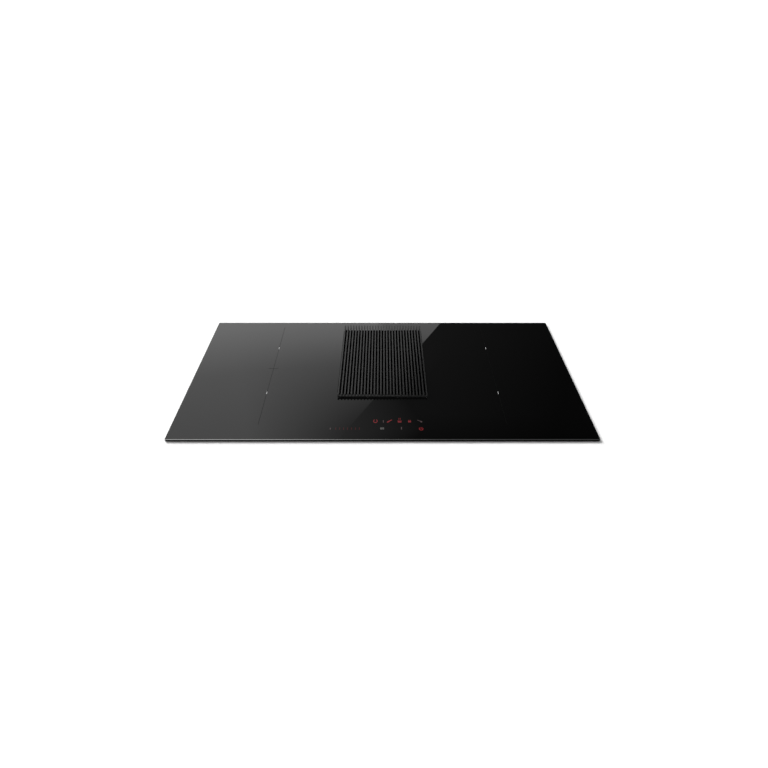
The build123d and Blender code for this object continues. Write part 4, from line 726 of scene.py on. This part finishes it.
# %% [markdown]
# The print lies by the coils, but not quite over their middles: the picture shows it a little
# nearer to the middle of the glass, and the white bars a little nearer to the cook.

# %% Zone lines and ticks
towards_middle = 0.0025
towards_cook = {"front": 0.0044, "back": 0.0023}
reach_front, reach_back = 0.1245, 0.1125
line_width, cross_width, cross_half = 0.0007, 0.001, 0.011
tick_width, tick_half = 0.0012, 0.0045
tick_level = glass_top + print_thickness / 2

coil_middles = {}
for row in ("front", "back"):
    for side in ("left", "right"):
        low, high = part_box(f"coil_winding_{row}_{side}")
        coil_middles[row, side] = (low + high) / 2
front_coil, back_coil = coil_middles["front", "left"].y, coil_middles["back", "left"].y
zone_front, zone_back = front_coil - reach_front, back_coil + reach_back
zone_middle = (front_coil + back_coil) / 2

zone_lines = bmesh.new()
zone_ticks = bmesh.new()
for side, inwards in (("left", towards_middle), ("right", -towards_middle)):
    x = coil_middles["front", side].x + inwards
    bar(zone_lines, (x, zone_front), (x, zone_back), line_width)
    bar(zone_lines, (x - cross_half, zone_middle), (x + cross_half, zone_middle), cross_width)
    for row, nearer in towards_cook.items():
        y = coil_middles[row, side].y - nearer
        bar(zone_ticks, (x, y - tick_half), (x, y + tick_half), tick_width, tick_level)
print_piece("zone_lines", zone_lines, "line_print")
print_piece("zone_ticks", zone_ticks, "white_print")
print("zone lines from y", round(zone_front, 3), "to", round(zone_back, 3))

# %% [markdown]
# ## Touch symbols
#
# The symbols light up red from below through the glass, about nine millimetres across.  Each
# is drawn with strokes, filled bars and arcs round its own middle: a timer ring, a brush, a pan
# with steam, a lock, an arrow, the power sign, two digits and the marks of the slider.  Fonts
# and pictures could hold them too, but strokes of a known width in millimetres are what a screen
# printer works with.  Their glow is weak, so that they look like lit ink and throw no light on
# the glass.

# %% Symbol finishes


def lit_ink(name, glow):
    """Dark ink with a lamp behind it, a little uneven over each symbol."""
    tree, shader = start_finish(name, (0.004, 0.003, 0.003), 0.03)
    shader.inputs["Emission Color"].default_value = (*glow, 1)
    uneven = between(tree, grain(tree, 0.003), 0.8, 1.2)
    tree.links.new(uneven, shader.inputs["Emission Strength"])


lit_ink("red_symbols", (0.18, 0.019, 0.023))
lit_ink("power_red", (0.2, 0.014, 0.018))
lit_ink("grey_symbols", (0.13, 0.13, 0.125))
lit_ink("pale_symbols", (0.075, 0.052, 0.055))
lit_ink("dim_symbols", (0.042, 0.001, 0.002))
print("symbol finishes ready")

# %% Strokes, bars and arcs of a symbol


def spot(middle, x, y):
    """A point of a symbol, given in millimetres from its middle."""
    return (middle[0] + x / 1000, middle[1] + y / 1000)


def draw(mesh, middle, width, *strokes):
    """Strokes of a symbol, each from one point to another in millimetres from its middle."""
    for x, y, end_x, end_y in strokes:
        bar(mesh, spot(middle, x, y), spot(middle, end_x, end_y), width / 1000)


def block(mesh, middle, width, low, high):
    """A filled bar of a symbol, in millimetres, from a low to a high edge."""
    half = width / 2
    corners = ((-half, low), (half, low), (half, high), (-half, high))
    plate(mesh, [spot(middle, x, y) for x, y in corners])


def arc(mesh, centre, radius, width, start, end, steps=32, tall=1.0):
    """A part of a ring, drawn along its outside and back along its inside."""
    turns = [radians(start + (end - start) * step / steps) for step in range(steps + 1)]
    outside = [(radius + width / 2, turn) for turn in turns]
    inside = [(radius - width / 2, turn) for turn in reversed(turns)]
    plate(
        mesh,
        [(centre[0] + r * cos(t), centre[1] + tall * r * sin(t)) for r, t in outside + inside],
    )


print("drawing tools ready")

# %% Red symbols of the back row
back_row = -0.194
red = bmesh.new()
timer = (-0.014, back_row)
arc(red, timer, 0.0036, 0.0016, 115, 425, tall=1.45)

brush = (0.0136, back_row)
draw(red, brush, 3.2, (-4.4, -4.4, 0.6, 0.8))
draw(red, brush, 2.2, (0.6, 0.8, 5.2, 4.8))

pan = (0.0339, back_row)
block(red, pan, 7.0, -4.8, -0.6)
draw(red, pan, 1.0, (-4.6, 0.7, 4.6, 0.7))
for steam_x in (-1.4, 1.4):
    draw(red, pan, 1.1, (steam_x, 3.2, steam_x, 6.2), (steam_x, 7.8, steam_x, 11))

lock = (0.0536, back_row)
block(red, lock, 5.8, -4.4, 0.6)
arc(red, spot(lock, 0, 0.6), 0.0021, 0.0008, 0, 180, 12, tall=1.4)
print_piece("touch_symbols", red, "red_symbols")
print("back row at y", back_row)

# %% Power sign and digits of the front row
front_row = -0.2203
power = bmesh.new()
power_sign = (0.0753, front_row - 0.0006)
arc(power, power_sign, 0.0036, 0.0014, 120, 420, tall=1.25)
draw(power, power_sign, 1.4, (0, -0.8, 0, 5.4))
print_piece("power_sign", power, "power_red")

digits = bmesh.new()
digit_row = front_row + 0.0006
digit_half, digit_tall = 1.1, 2.8
for digit_x in (-0.0027, 0.0014):
    digit = (digit_x, digit_row)
    for y in (-digit_tall, 0, digit_tall):
        draw(digits, digit, 1.0, (-digit_half, y, digit_half, y))
    for x in (-digit_half, digit_half):
        draw(digits, digit, 1.0, (x, -digit_tall, x, digit_tall))
print_piece("display_digits", digits, "grey_symbols")
print("front row at y", front_row)

# %% Pale bars and arrow
pale = bmesh.new()
draw(pale, (0.0017, back_row), 1.4, (0, -5.4, 0, 3))
draw(pale, (0.037, front_row), 1.7, (0, -2.8, 0, 5.8))
arrow = (0.0752, back_row)
arrow_head = ((0, 2), (0.6, -5.4), (4, -2.4))
draw(pale, arrow, 1.3, (-6.2, 4, 1, -1.2))
plate(pale, [spot(arrow, x, y) for x, y in arrow_head])
draw(pale, (-0.1016, front_row), 1.8, (0, -3, 0, 3))
print_piece("pale_symbols", pale, "pale_symbols")
print("arrow at x", arrow[0])

# %% Marks of the slider
dim = bmesh.new()
slider_start, slider_step, slider_marks = -0.0911, 0.0077, 7
for number in range(slider_marks):
    draw(dim, (slider_start + number * slider_step, front_row), 1.3, (0, -4, 0, 4))
print_piece("slider_marks", dim, "dim_symbols")
print("slider has", slider_marks, "marks")

# %% [markdown]
# ## Expanded metal in the filters
#
# A grease filter is a pack of expanded metal: thin sheet that is slit and pulled open until
# the slits are diamonds.  A layer starts as a flat net of diamond faces, is cut to the window
# of the filter's frame, and gets its strands from a wireframe modifier, which turns every edge
# of the net into a square wire.  The second layer lies crosswise, as in the real pack.

# %% A net of diamonds
filter_slope = radians(48)
pack_thickness = 0.005
strand = 0.0012


def diamond_net(half_across, half_along, step_across, step_along, level):
    """Flat net of diamonds round the origin at a level, cut to a rectangle."""
    net = bmesh.new()
    columns = int(half_across / step_across) + 2
    rows = int(half_along / step_along) + 2
    knots = {
        (i, j): net.verts.new((i * step_across, j * step_along, level))
        for i in range(-columns, columns + 1)
        for j in range(-rows, rows + 1)
        if (i + j) % 2 == 0
    }
    for i in range(1 - columns, columns):
        for j in range(1 - rows, rows):
            if (i + j) % 2:
                net.faces.new([knots[i + 1, j], knots[i, j + 1], knots[i - 1, j], knots[i, j - 1]])
    for edge, outward in (
        ((half_across, 0, 0), (1, 0, 0)),
        ((-half_across, 0, 0), (-1, 0, 0)),
        ((0, half_along, 0), (0, 1, 0)),
        ((0, -half_along, 0), (0, -1, 0)),
    ):
        bmesh.ops.bisect_plane(
            net,
            geom=net.verts[:] + net.edges[:] + net.faces[:],
            plane_co=edge,
            plane_no=outward,
            clear_outer=True,
        )
    return net


print("pack is", 1000 * pack_thickness, "mm thick")

# %% Filter layers
coarse_diamond, cross_diamond = (0.0045, 0.009), (0.008, 0.004)
for side, sign in (("left", -1), ("right", 1)):
    low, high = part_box("filter_mesh_" + side)
    window = (high.z - low.z - pack_thickness * cos(filter_slope)) / sin(filter_slope)
    up_slope = Vector((sign * cos(filter_slope), 0, sin(filter_slope)))
    outward = Vector((-sign * sin(filter_slope), 0, cos(filter_slope)))
    half_across, half_along = window / 2 - strand, (high.y - low.y) / 2 - strand
    for number, diamond in enumerate((coarse_diamond, cross_diamond)):
        level = (number - 0.5) * pack_thickness / 2
        net = diamond_net(half_across, half_along, *diamond, level)
        for knot in net.verts:
            x, y, z = knot.co
            knot.co = (low + high) / 2 + x * up_slope + Vector((0, y, 0)) + z * outward
        layer = into_scene(f"filter_layer_{side}_{number + 1}", net)
        strands = layer.modifiers.new("strands", "WIREFRAME")
        strands.thickness = strand
        strands.offset = 0
        layer.data.materials.append(finishes["filter_metal"])
        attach(layer, "filter_" + side)
        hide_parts("filter_mesh_" + side)
print("filter window is", round(1000 * window), "mm across")

# %% [markdown]
# ## Screws with a drive
#
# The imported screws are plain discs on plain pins.  Each gets a pan head with a cross recess
# here, in the same place and of the same size.  A screw is built round its own axis, with the
# seat of the head at zero, and then turned so that the axis points into the part.

# %% Rows of points round a screw
head_radius, head_height = 0.004, 0.0024
pin_radius = 0.002
screw_sides = 24
quarter_turn = pi / 2


def loop_of(mesh, points, level):
    """Closed row of points at a level along the screw's axis."""
    return [mesh.verts.new((x, y, level)) for x, y in points]


def round_row(radius):
    """Points on a circle."""
    turns = [2 * pi * step / screw_sides for step in range(screw_sides)]
    return [(radius * cos(turn), radius * sin(turn)) for turn in turns]


def cross_row(reach, half):
    """The twelve corners of a cross, counter-clockwise."""
    corners = []
    for turn in (number * quarter_turn for number in range(4)):
        for x, y in ((reach, -half), (reach, half), (half, half)):
            corners.append((x * cos(turn) - y * sin(turn), x * sin(turn) + y * cos(turn)))
    return corners


print("cross has", len(cross_row(1, 0.2)), "corners")

# %% One screw
head_profile = ((0.75, 1), (0.93, 0.8), (1, 0.45), (1, 0))
pin_profile = ((1, 0), (1, 0.85), (0.35, 1))
rim_cross, floor_cross = (0.5, 0.14), (0.42, 0.1)
floor_level = 0.35


def screw(mesh, seat, axis, length):
    """One screw: its head stands out from the seat, its pin goes in along the axis."""
    start = len(mesh.verts)
    rows = [
        loop_of(mesh, round_row(share * head_radius), -level * head_height)
        for share, level in head_profile
    ]
    rows += [
        loop_of(mesh, round_row(share * pin_radius), level * length)
        for share, level in pin_profile
    ]
    for lower, upper in zip(rows, rows[1:]):
        band(mesh, lower, upper)
    mesh.faces.new(rows[-1])
    rim, floor = [
        loop_of(mesh, cross_row(reach * head_radius, half * head_radius), -level * head_height)
        for (reach, half), level in ((rim_cross, 1), (floor_cross, floor_level))
    ]
    band(mesh, floor, rim)
    mesh.faces.new(floor)
    mesh.edges.ensure_lookup_table()
    around = [
        mesh.edges.get((corner, row[(number + 1) % len(row)]))
        for row in (rows[0], rim)
        for number, corner in enumerate(row)
    ]
    bmesh.ops.triangle_fill(mesh, edges=around, use_beauty=True)
    mesh.verts.ensure_lookup_table()
    turn = Vector(axis).to_track_quat("Z", "Y")
    for vert in mesh.verts[start:]:
        vert.co = Vector(seat) + turn @ vert.co


print("head is", 2000 * head_radius, "mm across")

# %% [markdown]
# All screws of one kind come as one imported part.  The places of the single screws are found by
# walking from point to point along its edges until nothing new is reached: each walk gives one
# screw, and the lowest and highest corner of its points tell where it sits.

# %% Screws in their places


def solids_of(part):
    """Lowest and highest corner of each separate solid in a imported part."""
    mesh = bmesh.new()
    mesh.from_mesh(part.data)
    bmesh.ops.remove_doubles(mesh, verts=mesh.verts[:], dist=0.000001)
    waiting = set(mesh.verts)
    boxes = []
    for first in mesh.verts:
        if first not in waiting:
            continue
        waiting.remove(first)
        reached = [first]
        for vert in reached:
            beside = {edge.other_vert(vert) for edge in vert.link_edges} & waiting
            waiting -= beside
            reached += beside
        sides = list(zip(*(vert.co for vert in reached)))
        boxes.append((Vector(map(min, sides)), Vector(map(max, sides))))
    mesh.free()
    return boxes


for node in ("tray_screws", "underside_screws"):
    screws = bmesh.new()
    boxes = solids_of(frame["nodes"][node])
    for low, high in boxes:
        middle = (low + high) / 2
        if node == "tray_screws":
            inward = -1 if middle.x > 0 else 1
            seat_x = (high.x if middle.x > 0 else low.x) + inward * head_height
            seat, axis = (seat_x, middle.y, middle.z), (inward, 0, 0)
            length = high.x - low.x - head_height
        else:
            seat, axis = (middle.x, middle.y, low.z + head_height), (0, 0, 1)
            length = high.z - low.z - head_height
        screw(screws, seat, axis, length)
    bmesh.ops.recalc_face_normals(screws, faces=screws.faces)
    driven = into_scene("driven_" + node, screws)
    driven.data.materials.append(finishes["zinc_screws"])
    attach(driven, "root")
    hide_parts(node)
    print(node, "has", len(boxes), "screws")
